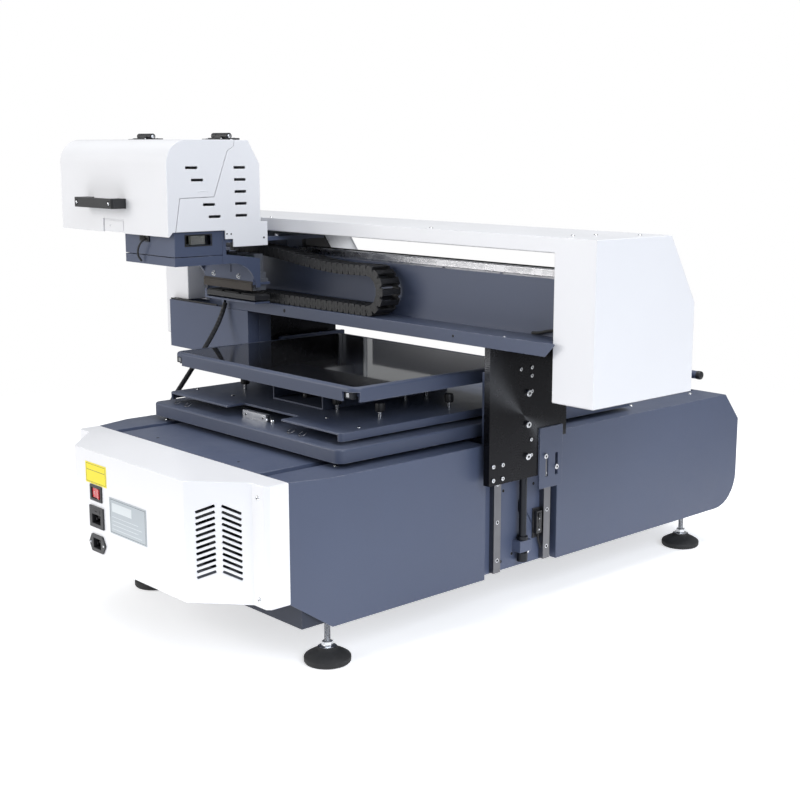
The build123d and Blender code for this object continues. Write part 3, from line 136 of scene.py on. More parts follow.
class Group:
    """A shader node group under construction."""

    def __init__(self, name, inputs, outputs):
        self.tree = bpy.data.node_groups.new(name, "ShaderNodeTree")
        for label, kind, default in inputs:
            socket = self.tree.interface.new_socket(label, in_out="INPUT", socket_type=kind)
            if default is not None:
                socket.default_value = default
        for label, kind in outputs:
            self.tree.interface.new_socket(label, in_out="OUTPUT", socket_type=kind)
        self.inputs = self.add("NodeGroupInput").outputs
        self.outputs = self.add("NodeGroupOutput").inputs

    def add(self, kind, **values):
        node = self.tree.nodes.new(kind)
        for key, value in values.items():
            setattr(node, key, value)
        return node

    def link(self, source, target):
        self.tree.links.new(source, target)

    def math(self, operation, a, b=None, clamp=False):
        node = self.add("ShaderNodeMath", operation=operation, use_clamp=clamp)
        for socket, value in zip(node.inputs, (a, b)):
            if value is None:
                continue
            if isinstance(value, (int, float)):
                socket.default_value = value
            else:
                self.link(value, socket)
        return node.outputs[0]

    def spread(self, value, low, high, to_low=0.0, to_high=1.0):
        node = self.add("ShaderNodeMapRange")
        self.link(value, node.inputs["Value"])
        for label, number in (("From Min", low), ("From Max", high), ("To Min", to_low), ("To Max", to_high)):
            node.inputs[label].default_value = number
        return node.outputs["Result"]

    def noise(self, scale, detail=3.0, rough=0.55, vector=None):
        node = self.add("ShaderNodeTexNoise")
        node.inputs["Detail"].default_value = detail
        node.inputs["Roughness"].default_value = rough
        if isinstance(scale, (int, float)):
            node.inputs["Scale"].default_value = scale
        else:
            self.link(scale, node.inputs["Scale"])
        self.link(vector or self.position(), node.inputs["Vector"])
        return node.outputs["Fac"]

    def position(self):
        return self.add("ShaderNodeTexCoord").outputs["Object"]

    def mix(self, factor, a, b):
        node = self.add("ShaderNodeMix", data_type="RGBA")
        self.link(factor, node.inputs[0])
        self.link(a, node.inputs[6])
        self.link(b, node.inputs[7])
        return node.outputs[2]


def powder_grain_group():
    """Fine orange peel of a sprayed coat, as a height and a tint mask."""
    g = Group("Powder grain", [("Scale", "NodeSocketFloat", 900.0), ("Peel", "NodeSocketFloat", 0.5)],
              [("Height", "NodeSocketFloat"), ("Speck", "NodeSocketFloat")])
    fine = g.noise(g.inputs["Scale"], 2.0, 0.6)
    wide = g.noise(g.math("MULTIPLY", g.inputs["Scale"], 0.18), 2.0, 0.4)
    height = g.math("ADD", fine, g.math("MULTIPLY", wide, g.inputs["Peel"]))
    g.link(height, g.outputs["Height"])
    g.link(g.spread(fine, 0.35, 0.7), g.outputs["Speck"])
    return g.tree


def drift_group():
    """Slow change of tone across a large painted panel."""
    g = Group("Tone drift", [("Color", "NodeSocketColor", (0.5, 0.5, 0.5, 1)), ("Amount", "NodeSocketFloat", 0.06),
                             ("Speck", "NodeSocketFloat", 0.5)],
              [("Color", "NodeSocketColor")])
    wide = g.spread(g.noise(3.5, 3.0), 0.3, 0.7, -1.0, 1.0)
    speck = g.spread(g.inputs["Speck"], 0.0, 1.0, -0.5, 0.5)
    both = g.math("ADD", wide, speck)
    value = g.math("ADD", g.math("MULTIPLY", both, g.inputs["Amount"]), 1.0)
    node = g.add("ShaderNodeHueSaturation")
    g.link(g.inputs["Color"], node.inputs["Color"])
    g.link(value, node.inputs["Value"])
    g.link(node.outputs["Color"], g.outputs["Color"])
    return g.tree


def worn_highlit_edge_group():
    """Colour mixed towards a fixed edge colour along sharp edges, broken by noise: paint rubbed thin, and on the dark
    finishes also a painted highlight along the edges.
    """
    g = Group("Worn and highlit edges", [("Color", "NodeSocketColor", (0.5, 0.5, 0.5, 1)),
                            ("Bare", "NodeSocketColor", (0.6, 0.6, 0.6, 1)), ("Amount", "NodeSocketFloat", 0.4)],
              [("Color", "NodeSocketColor"), ("Mask", "NodeSocketFloat")])
    bevel = g.add("ShaderNodeBevel", samples=4)
    bevel.inputs["Radius"].default_value = 0.0012
    compare = g.add("ShaderNodeVectorMath", operation="DOT_PRODUCT")
    g.link(bevel.outputs["Normal"], compare.inputs[0])
    g.link(g.add("ShaderNodeNewGeometry").outputs["Normal"], compare.inputs[1])
    edge = g.spread(compare.outputs["Value"], 0.995, 0.90)
    broken = g.spread(g.noise(60.0, 4.0, 0.7), 0.45, 0.62)
    mask = g.math("MULTIPLY", g.math("MULTIPLY", edge, broken), g.inputs["Amount"], clamp=True)
    g.link(g.mix(mask, g.inputs["Color"], g.inputs["Bare"]), g.outputs["Color"])
    g.link(mask, g.outputs["Mask"])
    return g.tree


def dust_group():
    """Light dust that settles on faces that look up."""
    g = Group("Settled dust", [("Color", "NodeSocketColor", (0.5, 0.5, 0.5, 1)),
                               ("Dust", "NodeSocketColor", (0.55, 0.56, 0.58, 1)),
                               ("Amount", "NodeSocketFloat", 0.1)],
              [("Color", "NodeSocketColor"), ("Mask", "NodeSocketFloat")])
    split = g.add("ShaderNodeSeparateXYZ")
    g.link(g.add("ShaderNodeNewGeometry").outputs["Normal"], split.inputs[0])
    up = g.spread(split.outputs["Z"], 0.5, 1.0)
    cloud = g.spread(g.noise(9.0, 6.0, 0.65), 0.35, 0.8)
    mask = g.math("MULTIPLY", g.math("MULTIPLY", up, cloud), g.inputs["Amount"], clamp=True)
    g.link(g.mix(mask, g.inputs["Color"], g.inputs["Dust"]), g.outputs["Color"])
    g.link(mask, g.outputs["Mask"])
    return g.tree


def sheen_group():
    """Roughness that wanders a little, with faint wiped marks."""
    g = Group("Wiped sheen", [("Base", "NodeSocketFloat", 0.5), ("Spread", "NodeSocketFloat", 0.08),
                              ("Scale", "NodeSocketFloat", 14.0)],
              [("Roughness", "NodeSocketFloat")])
    wide = g.spread(g.noise(g.inputs["Scale"], 5.0, 0.7), 0.3, 0.7, -1.0, 1.0)
    value = g.math("ADD", g.inputs["Base"], g.math("MULTIPLY", wide, g.inputs["Spread"]), clamp=True)
    g.link(value, g.outputs["Roughness"])
    return g.tree


def brushed_group():
    """Lines of a brushed or drawn metal, finest across the stretch axis."""
    g = Group("Brushed lines", [("Stretch", "NodeSocketVector", (20.0, 900.0, 900.0))],
              [("Height", "NodeSocketFloat"), ("Shade", "NodeSocketFloat")])
    scale = g.add("ShaderNodeVectorMath", operation="MULTIPLY")
    g.link(g.position(), scale.inputs[0])
    g.link(g.inputs["Stretch"], scale.inputs[1])
    lines = g.noise(1.0, 4.0, 0.6, scale.outputs[0])
    g.link(lines, g.outputs["Height"])
    g.link(g.spread(lines, 0.3, 0.7), g.outputs["Shade"])
    return g.tree


def turned_rings_group():
    """Rings left on a faced plate, round a chosen centre. The second output is a painted highlight: two narrow
    opposite lobes round the centre that stand in for the sheen of the turned face.
    """
    g = Group("Turned rings", [("Centre", "NodeSocketVector", (0.0, 0.0, 0.0)), ("Scale", "NodeSocketFloat", 420.0)],
              [("Height", "NodeSocketFloat"), ("Painted highlight", "NodeSocketFloat")])
    shift = g.add("ShaderNodeVectorMath", operation="SUBTRACT")
    g.link(g.position(), shift.inputs[0])
    g.link(g.inputs["Centre"], shift.inputs[1])
    flat = g.add("ShaderNodeVectorMath", operation="MULTIPLY")
    flat.inputs[1].default_value = (0, 1, 1)
    g.link(shift.outputs[0], flat.inputs[0])
    length = g.add("ShaderNodeVectorMath", operation="LENGTH")
    g.link(flat.outputs[0], length.inputs[0])
    wave = g.math("SINE", g.math("MULTIPLY", length.outputs["Value"], g.math("MULTIPLY", g.inputs["Scale"], 6.28)))
    g.link(g.math("ADD", wave, g.math("MULTIPLY", g.noise(700.0, 2.0), 0.7)), g.outputs["Height"])
    # Painted highlight: a mask that is bright only in two narrow opposite directions round the centre.
    split = g.add("ShaderNodeSeparateXYZ")
    g.link(flat.outputs[0], split.inputs[0])
    angle = g.math("ARCTAN2", split.outputs["Z"], split.outputs["Y"])
    highlight_lobe = g.math("ABSOLUTE", g.math("COSINE", g.math("SUBTRACT", angle, 2.45)))
    g.link(g.math("POWER", highlight_lobe, 26.0), g.outputs["Painted highlight"])
    return g.tree


EFFECTS = {}


def effect(name):
    """The shared shader group of that name, built the first time it is asked for."""
    builders = {"grain": powder_grain_group, "drift": drift_group, "edge_wear_and_highlight": worn_highlit_edge_group, "dust": dust_group,
                "sheen": sheen_group, "brushed": brushed_group, "rings": turned_rings_group}
    if name not in EFFECTS:
        EFFECTS[name] = builders[name]()
    return EFFECTS[name]


# ------------------------------------------------------------------ materials

class Finish:
    """One material: a Principled shader fed by the shared groups."""

    def __init__(self, name):
        self.material = bpy.data.materials.new(name)
        self.material.use_nodes = True
        self.tree = self.material.node_tree
        self.shader = next(n for n in self.tree.nodes if n.type == "BSDF_PRINCIPLED")

    def set(self, **values):
        for label, value in values.items():
            self.shader.inputs[label.replace("_", " ")].default_value = value
        return self

    def place(self, name, **values):
        node = self.tree.nodes.new("ShaderNodeGroup")
        node.node_tree = effect(name)
        for label, value in values.items():
            if isinstance(value, bpy.types.NodeSocket):
                self.tree.links.new(value, node.inputs[label])
            else:
                node.inputs[label].default_value = value
        return node.outputs

    def feed(self, socket, source):
        self.tree.links.new(source, self.shader.inputs[socket])
        return self

    def bump(self, height, strength, distance):
        node = self.tree.nodes.new("ShaderNodeBump")
        node.inputs["Strength"].default_value = strength
        node.inputs["Distance"].default_value = distance
        self.tree.links.new(height, node.inputs["Height"])
        self.tree.links.new(node.outputs["Normal"], self.shader.inputs["Normal"])
        return self


def rgba(value):
    return (*value, 1.0)


def sprayed(name, base, rough, grain=900.0, peel=0.5, bump=0.12, drift=0.05, edge_wear_and_highlight=0.35, dust=0.05,
            edge_colour=(0.5, 0.5, 0.52), coat=0.0, metallic=0.0):
    """Sprayed or powder-coated sheet metal."""
    f = Finish(name).set(Metallic=metallic)
    if coat:
        f.set(Coat_Weight=coat, Coat_Roughness=0.18)
    grains = f.place("grain", Scale=grain, Peel=peel)
    tone = f.place("drift", Color=rgba(base), Amount=drift, Speck=grains["Speck"])
    # Edge mix: worn paint, and on the dark finishes a painted highlight along sharp edges.
    worn_and_highlit = f.place("edge_wear_and_highlight", Color=tone["Color"], Bare=rgba(edge_colour), Amount=edge_wear_and_highlight)
    dusty = f.place("dust", Color=worn_and_highlit["Color"], Amount=dust)
    sheen = f.place("sheen", Base=rough, Spread=0.05)
    f.feed("Base Color", dusty["Color"]).feed("Roughness", sheen["Roughness"])
    return f.bump(grains["Height"], bump, 0.0003).material


def drawn_metal(name, base, rough, stretch, bump=0.08, dust=0.03, metallic=1.0):
    """Bare metal with drawn or brushed lines."""
    f = Finish(name).set(Metallic=metallic)
    lines = f.place("brushed", Stretch=stretch)
    tone = f.place("drift", Color=rgba(base), Amount=0.10, Speck=lines["Shade"])
    dusty = f.place("dust", Color=tone["Color"], Amount=dust)
    sheen = f.place("sheen", Base=rough, Spread=0.07, Scale=40.0)
    f.feed("Base Color", dusty["Color"]).feed("Roughness", sheen["Roughness"])
    return f.bump(lines["Height"], bump, 0.0001).material


def moulded(name, base, rough, grain=1600.0, bump=0.15, dust=0.06, edge_wear_and_highlight=0.15, edge_colour=(0.12, 0.12, 0.13), coat=0.0):
    """Moulded plastic or rubber with a fine eroded texture."""
    return sprayed(name, base, rough, grain=grain, peel=0.2, bump=bump, drift=0.10, edge_wear_and_highlight=edge_wear_and_highlight, dust=dust, edge_colour=edge_colour,
                   coat=coat)


def build_materials(finish):
    """All finishes by plain name."""
    grey = tuple(finish.grey)
    made = {
        "white": sprayed("White enamel", finish.white, 0.34, grain=700.0, peel=0.9, bump=0.05, drift=0.012, edge_wear_and_highlight=0.10,
                         dust=0.02, coat=0.25),
        "grey": sprayed("Blue-grey powder coat", grey, 0.42, grain=1100.0, bump=0.22, drift=0.07),
        "table_grey": sprayed("Table powder coat", tuple(c * 0.86 for c in grey), 0.46, grain=1100.0, bump=0.18,
                              drift=0.08, edge_wear_and_highlight=0.5, dust=0.10),
        "inner_grey": sprayed("Frame powder coat", tuple(c * 0.35 for c in grey), 0.62, grain=800.0, dust=0.12),
        "dark": sprayed("Blackened sheet", (0.012, 0.012, 0.014), 0.55, grain=800.0, dust=0.08),
        "rubber": moulded("Black rubber", finish.rubber, 0.72, dust=0.12),
        "plastic": moulded("Black plastic", finish.plastic, 0.42),
        "chain": moulded("Chain plastic", (0.012, 0.012, 0.013), 0.5, bump=0.2, dust=0.03, edge_wear_and_highlight=0.25),
        "rocker": moulded("Rocker plastic", finish.rocker, 0.24, bump=0.04, edge_wear_and_highlight=0.0, dust=0.0, coat=0.4),
        "notice": sprayed("Notice plate print", finish.notice, 0.38, grain=1500.0, bump=0.03, drift=0.03, edge_wear_and_highlight=0.1),
        "rating": sprayed("Rating plate print", (0.42, 0.46, 0.49), 0.34, grain=1500.0, bump=0.03, drift=0.04,
                          edge_wear_and_highlight=0.1, metallic=0.25),
        "plate_field": sprayed("Rating plate field", (0.62, 0.66, 0.68), 0.30, grain=1500.0, bump=0.03, metallic=0.2),
        "print_ink": sprayed("Printed line", (0.03, 0.035, 0.04), 0.45, grain=1500.0, bump=0.02, edge_wear_and_highlight=0.0),
        "rail": drawn_metal("Ground rail steel", (0.16, 0.16, 0.17), 0.38, (900.0, 900.0, 14.0)),
        "rail_along_x": drawn_metal("Ground beam rail", (0.58, 0.58, 0.60), 0.26, (14.0, 900.0, 900.0)),
        "rail_along_y": drawn_metal("Ground table rail", (0.58, 0.58, 0.60), 0.26, (900.0, 14.0, 900.0)),
        "zinc": drawn_metal("Zinc-plated steel", (0.66, 0.67, 0.69), 0.22, (300.0, 300.0, 300.0), bump=0.04),
        "aluminium": drawn_metal("Extruded aluminium", (0.70, 0.71, 0.73), 0.34, (700.0, 20.0, 20.0)),
        "blue_steel": sprayed("Column powder coat", tuple(c * 1.15 for c in grey), 0.50, grain=1100.0, bump=0.2),
        "spindle": drawn_metal("Blackened spindle steel", (0.035, 0.037, 0.042), 0.42, (300.0, 300.0, 900.0)),
        "head_steel": drawn_metal("Head carrier", (0.050, 0.043, 0.038), 0.5, (20.0, 500.0, 500.0), metallic=0.6),
        "head": moulded("Print head body", (0.09, 0.095, 0.11), 0.5),
        "ink": moulded("Ink tank plastic", (0.32, 0.33, 0.34), 0.35, dust=0.0),
        "lamp": drawn_metal("Lamp reflector", (0.72, 0.72, 0.66), 0.16, (40.0, 500.0, 500.0), bump=0.05),
        "board": moulded("Circuit board", (0.01, 0.05, 0.03), 0.5, dust=0.1),
        # Near-black finish used as painted shade: it fills recesses, holes and slots that are not cut, and the space
        # behind the louvres.
        "painted_shade": sprayed("Deep shadow cavity", (0.004, 0.004, 0.005), 0.8, grain=500.0, dust=0.0, edge_wear_and_highlight=0.0),
    }
    # End plate: the rings' highlight mask mixes the anodised colour towards light grey in two narrow lobes, a painted
    # highlight of the turned sheen.
    plate = Finish("Black anodised end plate").set(Metallic=0.75)
    rings = plate.place("rings", Centre=(0.0, -0.050, 0.318))
    tone = plate.place("drift", Color=rgba(finish.anodised), Amount=0.2, Speck=0.5)
    lit = plate.tree.nodes.new("ShaderNodeMix")
    lit.data_type = "RGBA"
    plate.tree.links.new(rings["Painted highlight"], lit.inputs[0])
    plate.tree.links.new(tone["Color"], lit.inputs[6])
    lit.inputs[7].default_value = (0.075, 0.078, 0.086, 1)
    sheen = plate.place("sheen", Base=0.26, Spread=0.05, Scale=30.0)
    plate.feed("Base Color", lit.outputs[2]).feed("Roughness", sheen["Roughness"])
    made["anodised"] = plate.bump(rings["Height"], 0.10, 0.0002).material
    glass = Finish("Black glass bed").set(Coat_Weight=0.15, Coat_Roughness=0.03, Specular_IOR_Level=0.45)
    tone = glass.place("drift", Color=(0.006, 0.006, 0.007, 1), Amount=0.1, Speck=0.5)
    dusty = glass.place("dust", Color=tone["Color"], Amount=0.012)
    sheen = glass.place("sheen", Base=0.05, Spread=0.02, Scale=25.0)
    glass.feed("Base Color", dusty["Color"]).feed("Roughness", sheen["Roughness"])
    made["bed"] = glass.material
    return made


MATERIALS = {}


def material(name):
    """A finish by its plain name; they are made together the first time."""
    if not MATERIALS:
        MATERIALS.update(build_materials(bpy.context.scene.printer_finish))
    return MATERIALS[name]


# ------------------------------------------------------------------ shapes

def at(x, y, z, turn=None):
    """Place of a small part: millimetres, with an optional rotation."""
    return Matrix.Translation((x, y, z)) @ (turn or Matrix())


FACE_RIGHT = Matrix.Rotation(pi / 2, 4, "Y")
FACE_LEFT = Matrix.Rotation(-pi / 2, 4, "Y")
FACE_FRONT = Matrix.Rotation(pi / 2, 4, "X")
FACE_REAR = Matrix.Rotation(-pi / 2, 4, "X")
FACE_DOWN = Matrix.Rotation(pi, 4, "X")


def outward(side):
    """Turn of a screw that faces away from the machine on that side."""
    return FACE_RIGHT if side > 0 else FACE_LEFT


def sideways(side, x_span, y_span, z_span):
    """Corners of a box whose x distances are measured outward on that side."""
    low, high = sorted(side * x for x in x_span)
    return (low, y_span[0], z_span[0]), (high, y_span[1], z_span[1])


class Form:
    """Collects the faces of one piece, in millimetres."""

    def __init__(self):
        self.mesh = bmesh.new()
        self.materials = []

    def index(self, name):
        if name not in self.materials:
            self.materials.append(name)
        return self.materials.index(name)

    def faces(self, rings, material_name, closed=True, caps=True):
        """Skins a list of equally long rings of points."""
        slot = self.index(material_name)
        rows = [[self.mesh.verts.new(point) for point in ring] for ring in rings]
        count = len(rows[0])
        made = []
        for low, high in zip(rows, rows[1:]):
            for i in range(count if closed else count - 1):
                j = (i + 1) % count
                made.append(self.mesh.faces.new((low[i], low[j], high[j], high[i])))
        if caps:
            made.append(self.mesh.faces.new(list(reversed(rows[0]))))
            made.append(self.mesh.faces.new(rows[-1]))
        for face in made:
            face.material_index = slot
        return self

    def box(self, low, high, material_name, place=Matrix()):
        (x0, y0, z0), (x1, y1, z1) = low, high
        corners = ((x0, y0), (x1, y0), (x1, y1), (x0, y1))
        rings = [[place @ Vector((x, y, z)) for x, y in corners] for z in (z0, z1)]
        return self.faces(rings, material_name)

    def prism(self, outline, low, high, material_name, place=Matrix()):
        rings = [[place @ Vector((x, y, z)) for x, y in outline] for z in (low, high)]
        return self.faces(rings, material_name)

    def lathe(self, profile, material_name, place=Matrix(), steps=None, sides=None):
        """Turns (radius, height) points about local Z."""
        steps = sides or steps or bpy.context.scene.printer_fittings.segments
        rings = []
        for radius, height in profile:
            ring = [place @ Vector((radius * cos(2 * pi * i / steps), radius * sin(2 * pi * i / steps), height))
                    for i in range(steps)]
            rings.append(ring)
        return self.faces(rings, material_name)

    def tube(self, points, radius, material_name, steps=10, flat=1.0, side=Vector((0, 1, 0))):
        """Round or flattened bar along a line of points."""
        rings = []
        for i, point in enumerate(points):
            ahead = (points[min(i + 1, len(points) - 1)] - points[max(i - 1, 0)]).normalized()
            across = (side - ahead * side.dot(ahead)).normalized()
            up = ahead.cross(across)
            rings.append([point + across * (radius * cos(2 * pi * k / steps)) +
                          up * (radius * flat * sin(2 * pi * k / steps)) for k in range(steps)])
        return self.faces(rings, material_name)

    def socket_screw(self, place, radius, height, material_name="zinc"):
        """Cap screw whose hexagon recess is painted shade: a near-black hexagon set just proud of the head, not a cut
        recess.
        """
        inner = radius * 0.44
        outer = [(radius, 0), (radius, height * 0.82), (radius * 0.88, height)]
        self.lathe([*outer, (inner * 1.05, height)], material_name, place)
        self.lathe([(inner, height * 0.35), (inner, height * 1.002)], "painted_shade", place, sides=6)
        return self

    def button_screw(self, place, radius, material_name="zinc"):
        """Low domed screw whose hexagon recess is painted shade: a near-black hexagon set just proud of the dome, not
        a cut recess.
        """
        dome = [(radius * cos(t), radius * 0.62 * sin(t)) for t in (0, 0.45, 0.85, 1.15)]
        self.lathe(dome, material_name, place)
        top = radius * 0.62 * sin(1.15)
        self.lathe([(radius * 0.36, top * 0.6), (radius * 0.36, top * 1.01)], "painted_shade", place, sides=6)
        return self

    def dark_hole(self, place, radius, rim=0.6, material_name="zinc"):
        """Counterbored hole seen from outside: a fine rim round a near-black disc, painted shade that stands in for
        the hole, which is not cut.
        """
        self.lathe([(radius + rim, 0), (radius + rim, 0.12), (radius, 0.2)], material_name, place)
        self.lathe([(radius, 0.05), (radius * 0.98, 0.22)], "painted_shade", place)
        return self

    def make(self, name, body, bevel=0.0, segments=2, replaces=(), slot=None):
        """Turns the faces into a piece that rides on a body."""
        bmesh.ops.recalc_face_normals(self.mesh, faces=self.mesh.faces)
        data = bpy.data.meshes.new(name)
        self.mesh.to_mesh(data)
        self.mesh.free()
        data.transform(Matrix.Scale(MM, 4))
        for finish_name in self.materials:
            data.materials.append(material(finish_name))
        data.polygons.foreach_set("use_smooth", [True] * len(data.polygons))
        data.set_sharp_from_angle(angle=radians(32))
        piece = bpy.data.objects.new(name, data)
        bpy.context.scene.collection.objects.link(piece)
        if bevel:
            add_bevel(piece, bevel * MM, segments)
        if body:
            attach(piece, body)
        if replaces:
            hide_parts(*replaces)
        return piece


def add_bevel(piece, width, segments=2, angle=32):
    modifier = piece.modifiers.new("Edges", "BEVEL")
    modifier.width = width
    modifier.segments = segments
    modifier.limit_method = "ANGLE"
    modifier.angle_limit = radians(angle)
    modifier.harden_normals = True
    return modifier


def dress(node, finish_name, edge=None, segments=2):
    """Gives a CAD node its finish and rounds its edges without touching its vertices."""
    piece = NODES[node]
    data = piece.data
    data.materials.clear()
    data.materials.append(material(finish_name))
    if edge:
        if "custom_normal" in data.attributes:
            data.attributes.remove(data.attributes["custom_normal"])
        data.polygons.foreach_set("use_smooth", [True] * len(data.polygons))
        weld = piece.modifiers.new("Weld", "WELD")
        weld.merge_threshold = 0.000002
        add_bevel(piece, edge, segments)
    return piece


def split_finish(node, finish_name, test):
    """A second finish on the faces whose centre, in millimetres, passes the test."""
    data = NODES[node].data
    data.materials.append(material(finish_name))
    slot = len(data.materials) - 1
    for polygon in data.polygons:
        if test(polygon.center / MM):
            polygon.material_index = slot


def soft_line(points, count):
    """Evenly spaced points on a smooth line through the given ones."""
    curve = [Vector(p) for p in points]
    dense = []
    for i in range(len(curve) - 1):
        a, b, c, d = (curve[max(0, min(len(curve) - 1, i + k))] for k in (-1, 0, 1, 2))
        for step in range(24):
            t = step / 24
            dense.append(0.5 * ((2 * b) + (c - a) * t + (2 * a - 5 * b + 4 * c - d) * t * t +
                                (3 * b - a - 3 * c + d) * t ** 3))
    dense.append(curve[-1])
    lengths = [0.0]
    for a, b in zip(dense, dense[1:]):
        lengths.append(lengths[-1] + (b - a).length)
    result = []
    k = 0
    for i in range(count):
        target = lengths[-1] * i / (count - 1)
        while k < len(lengths) - 2 and lengths[k + 1] < target:
            k += 1
        span = lengths[k + 1] - lengths[k] or 1.0
        result.append(dense[k].lerp(dense[k + 1], min(1.0, max(0.0, (target - lengths[k]) / span))))
    return result, lengths[-1]


# ------------------------------------------------------------------ stage and lead

CAMERA_PLACE = (1.6075, -1.4713, 0.7081)
CAMERA_AZIMUTH, CAMERA_ELEVATION, CAMERA_ROLL = 46.35, 10.49, 0.3
CAMERA_LENS = 59.23
CAMERA_SHIFT = (-0.0557, -0.0078)
FLOOR_REACH = 3.0


class PRINTER_OT_stage(bpy.types.Operator):
    """Adds the camera, the soft boxes, the even sky and the pale floor."""

    bl_idname = "printer.stage"
    bl_label = "Studio stage"

    def execute(self, context):
        stage = context.scene.printer_stage
        data = bpy.data.cameras.new("Camera")
        camera = bpy.data.objects.new("Camera", data)
        context.scene.collection.objects.link(camera)
        data.lens = CAMERA_LENS
        data.sensor_width = 36.0
        data.shift_x, data.shift_y = CAMERA_SHIFT
        data.clip_end = 60.0
        camera.location = CAMERA_PLACE
        turn = Euler((radians(90 - CAMERA_ELEVATION), 0, radians(CAMERA_AZIMUTH)), "XYZ").to_matrix().to_4x4()
        turn = turn @ Matrix.Rotation(radians(CAMERA_ROLL), 4, "Z")
        camera.rotation_euler = turn.to_euler()
        context.scene.camera = camera
        context.scene.view_settings.view_transform = "Standard"
        for name, place, target, power, tint, width in (
                ("Side", (3.4, -0.9, 2.1), (0, 0.1, 0.35), stage.side_light, (0.84, 0.90, 1.0), 2.2),
                ("Front", (-2.4, -3.6, 1.6), (0, -0.2, 0.4), stage.front_light, (1.0, 0.985, 0.965), 2.4),
                ("Top", (0.2, 0.4, 3.6), (0, 0, 0.3), stage.top_light, (1.0, 1.0, 1.0), 2.8)):
            self.soft_box(name + " soft box", place, target, power, tint, width)
        self.sky(context.scene, stage.fill)
        if stage.show_floor:
            self.floor(stage.floor)
        return {"FINISHED"}

    def soft_box(self, name, position, target, power, tint, width):
        data = bpy.data.lights.new(name, "AREA")
        data.shape = "SQUARE"
        data.size = width
        data.energy = power
        data.color = tint
        light = bpy.data.objects.new(name, data)
        light.location = position
        light.rotation_euler = (Vector(target) - Vector(position)).to_track_quat("-Z", "Y").to_euler()
        bpy.context.scene.collection.objects.link(light)

    def sky(self, scene, fill):
        world = bpy.data.worlds.new("Even sky")
        scene.world = world
        world.use_nodes = True
        tree = world.node_tree
        tree.nodes.clear()
        seen = tree.nodes.new("ShaderNodeBackground")
        seen.inputs["Color"].default_value = (1, 1, 1, 1)
        lit = tree.nodes.new("ShaderNodeBackground")
        lit.inputs["Color"].default_value = (0.96, 0.98, 1.0, 1)
        lit.inputs["Strength"].default_value = fill
        path = tree.nodes.new("ShaderNodeLightPath")
        mix = tree.nodes.new("ShaderNodeMixShader")
        output = tree.nodes.new("ShaderNodeOutputWorld")
        tree.links.new(path.outputs["Is Camera Ray"], mix.inputs[0])
        tree.links.new(lit.outputs[0], mix.inputs[1])
        tree.links.new(seen.outputs[0], mix.inputs[2])
        tree.links.new(mix.outputs[0], output.inputs[0])

    def floor(self, tint):
        finish = Finish("Pale studio floor").set(Roughness=0.9, Specular_IOR_Level=0.1)
        tone = finish.place("drift", Color=rgba(tint), Amount=0.004, Speck=0.5)
        finish.feed("Base Color", tone["Color"])
        finish.set(Emission_Color=(1, 1, 1, 1), Emission_Strength=0.55)
        distance = finish.tree.nodes.new("ShaderNodeVectorMath")
        distance.operation = "LENGTH"
        finish.tree.links.new(finish.tree.nodes.new("ShaderNodeTexCoord").outputs["Object"], distance.inputs[0])
        fade = finish.tree.nodes.new("ShaderNodeMapRange")
        finish.tree.links.new(distance.outputs["Value"], fade.inputs["Value"])
        for label, number in (("From Min", 0.75), ("From Max", 2.0), ("To Min", 1.0), ("To Max", 0.0)):
            fade.inputs[label].default_value = number
        finish.feed("Alpha", fade.outputs["Result"])
        data = bpy.data.meshes.new("floor")
        corners = [(x * FLOOR_REACH, y * FLOOR_REACH, 0) for x, y in ((-1, -1), (1, -1), (1, 1), (-1, 1))]
        data.from_pydata(corners, [], [(0, 1, 2, 3)])
        data.materials.append(finish.material)
        piece = bpy.data.objects.new("floor", data)
        piece.location.z = -0.0005
        bpy.context.scene.collection.objects.link(piece)


LEAD_ROUTE = ((-0.300, -0.178, 0.446), (-0.303, -0.184, 0.425), (-0.301, -0.200, 0.400), (-0.294, -0.228, 0.370),
              (-0.282, -0.262, 0.340), (-0.268, -0.296, 0.313), (-0.257, -0.318, 0.297), (-0.253, -0.330, 0.279))
LEAD_DIAMETER = 0.008
LEAD_RIBS = 26


class PRINTER_OT_gantry_lead(bpy.types.Operator):
    """Lead that drops from the drip tray to the base, with ribs along it."""

    bl_idname = "printer.gantry_lead"
    bl_label = "Gantry lead"

    def execute(self, context):
        curve = bpy.data.curves.new("lead_line", "CURVE")
        curve.dimensions = "3D"
        curve.resolution_u = 12
        spline = curve.splines.new("NURBS")
        spline.points.add(len(LEAD_ROUTE) - 1)
        for point, place in zip(spline.points, LEAD_ROUTE):
            point.co = (*place, 1)
        spline.order_u = 3
        spline.use_endpoint_u = True
        guide = bpy.data.objects.new("lead_line", curve)
        context.scene.collection.objects.link(guide)
        context.view_layer.update()
        line = bpy.data.meshes.new_from_object(guide)
        points = [vertex.co.copy() for vertex in line.vertices]
        bpy.data.objects.remove(guide)
        form = Form()
        radius = LEAD_DIAMETER / MM / 2
        form.tube([p / MM for p in points], radius, "rubber", steps=18, side=Vector((1, 0, 0)))
        for i in range(1, LEAD_RIBS):
            k = int(i * (len(points) - 2) / LEAD_RIBS)
            form.tube([points[k] / MM, points[k + 1] / MM], radius + 0.12, "plastic", steps=18, side=Vector((1, 0, 0)))
        lead = form.make("gantry_lead", None, replaces=("gantry_cable",), slot="black_rubber")
        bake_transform(lead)
        return {"FINISHED"}


# ------------------------------------------------------------------ CAD finishes

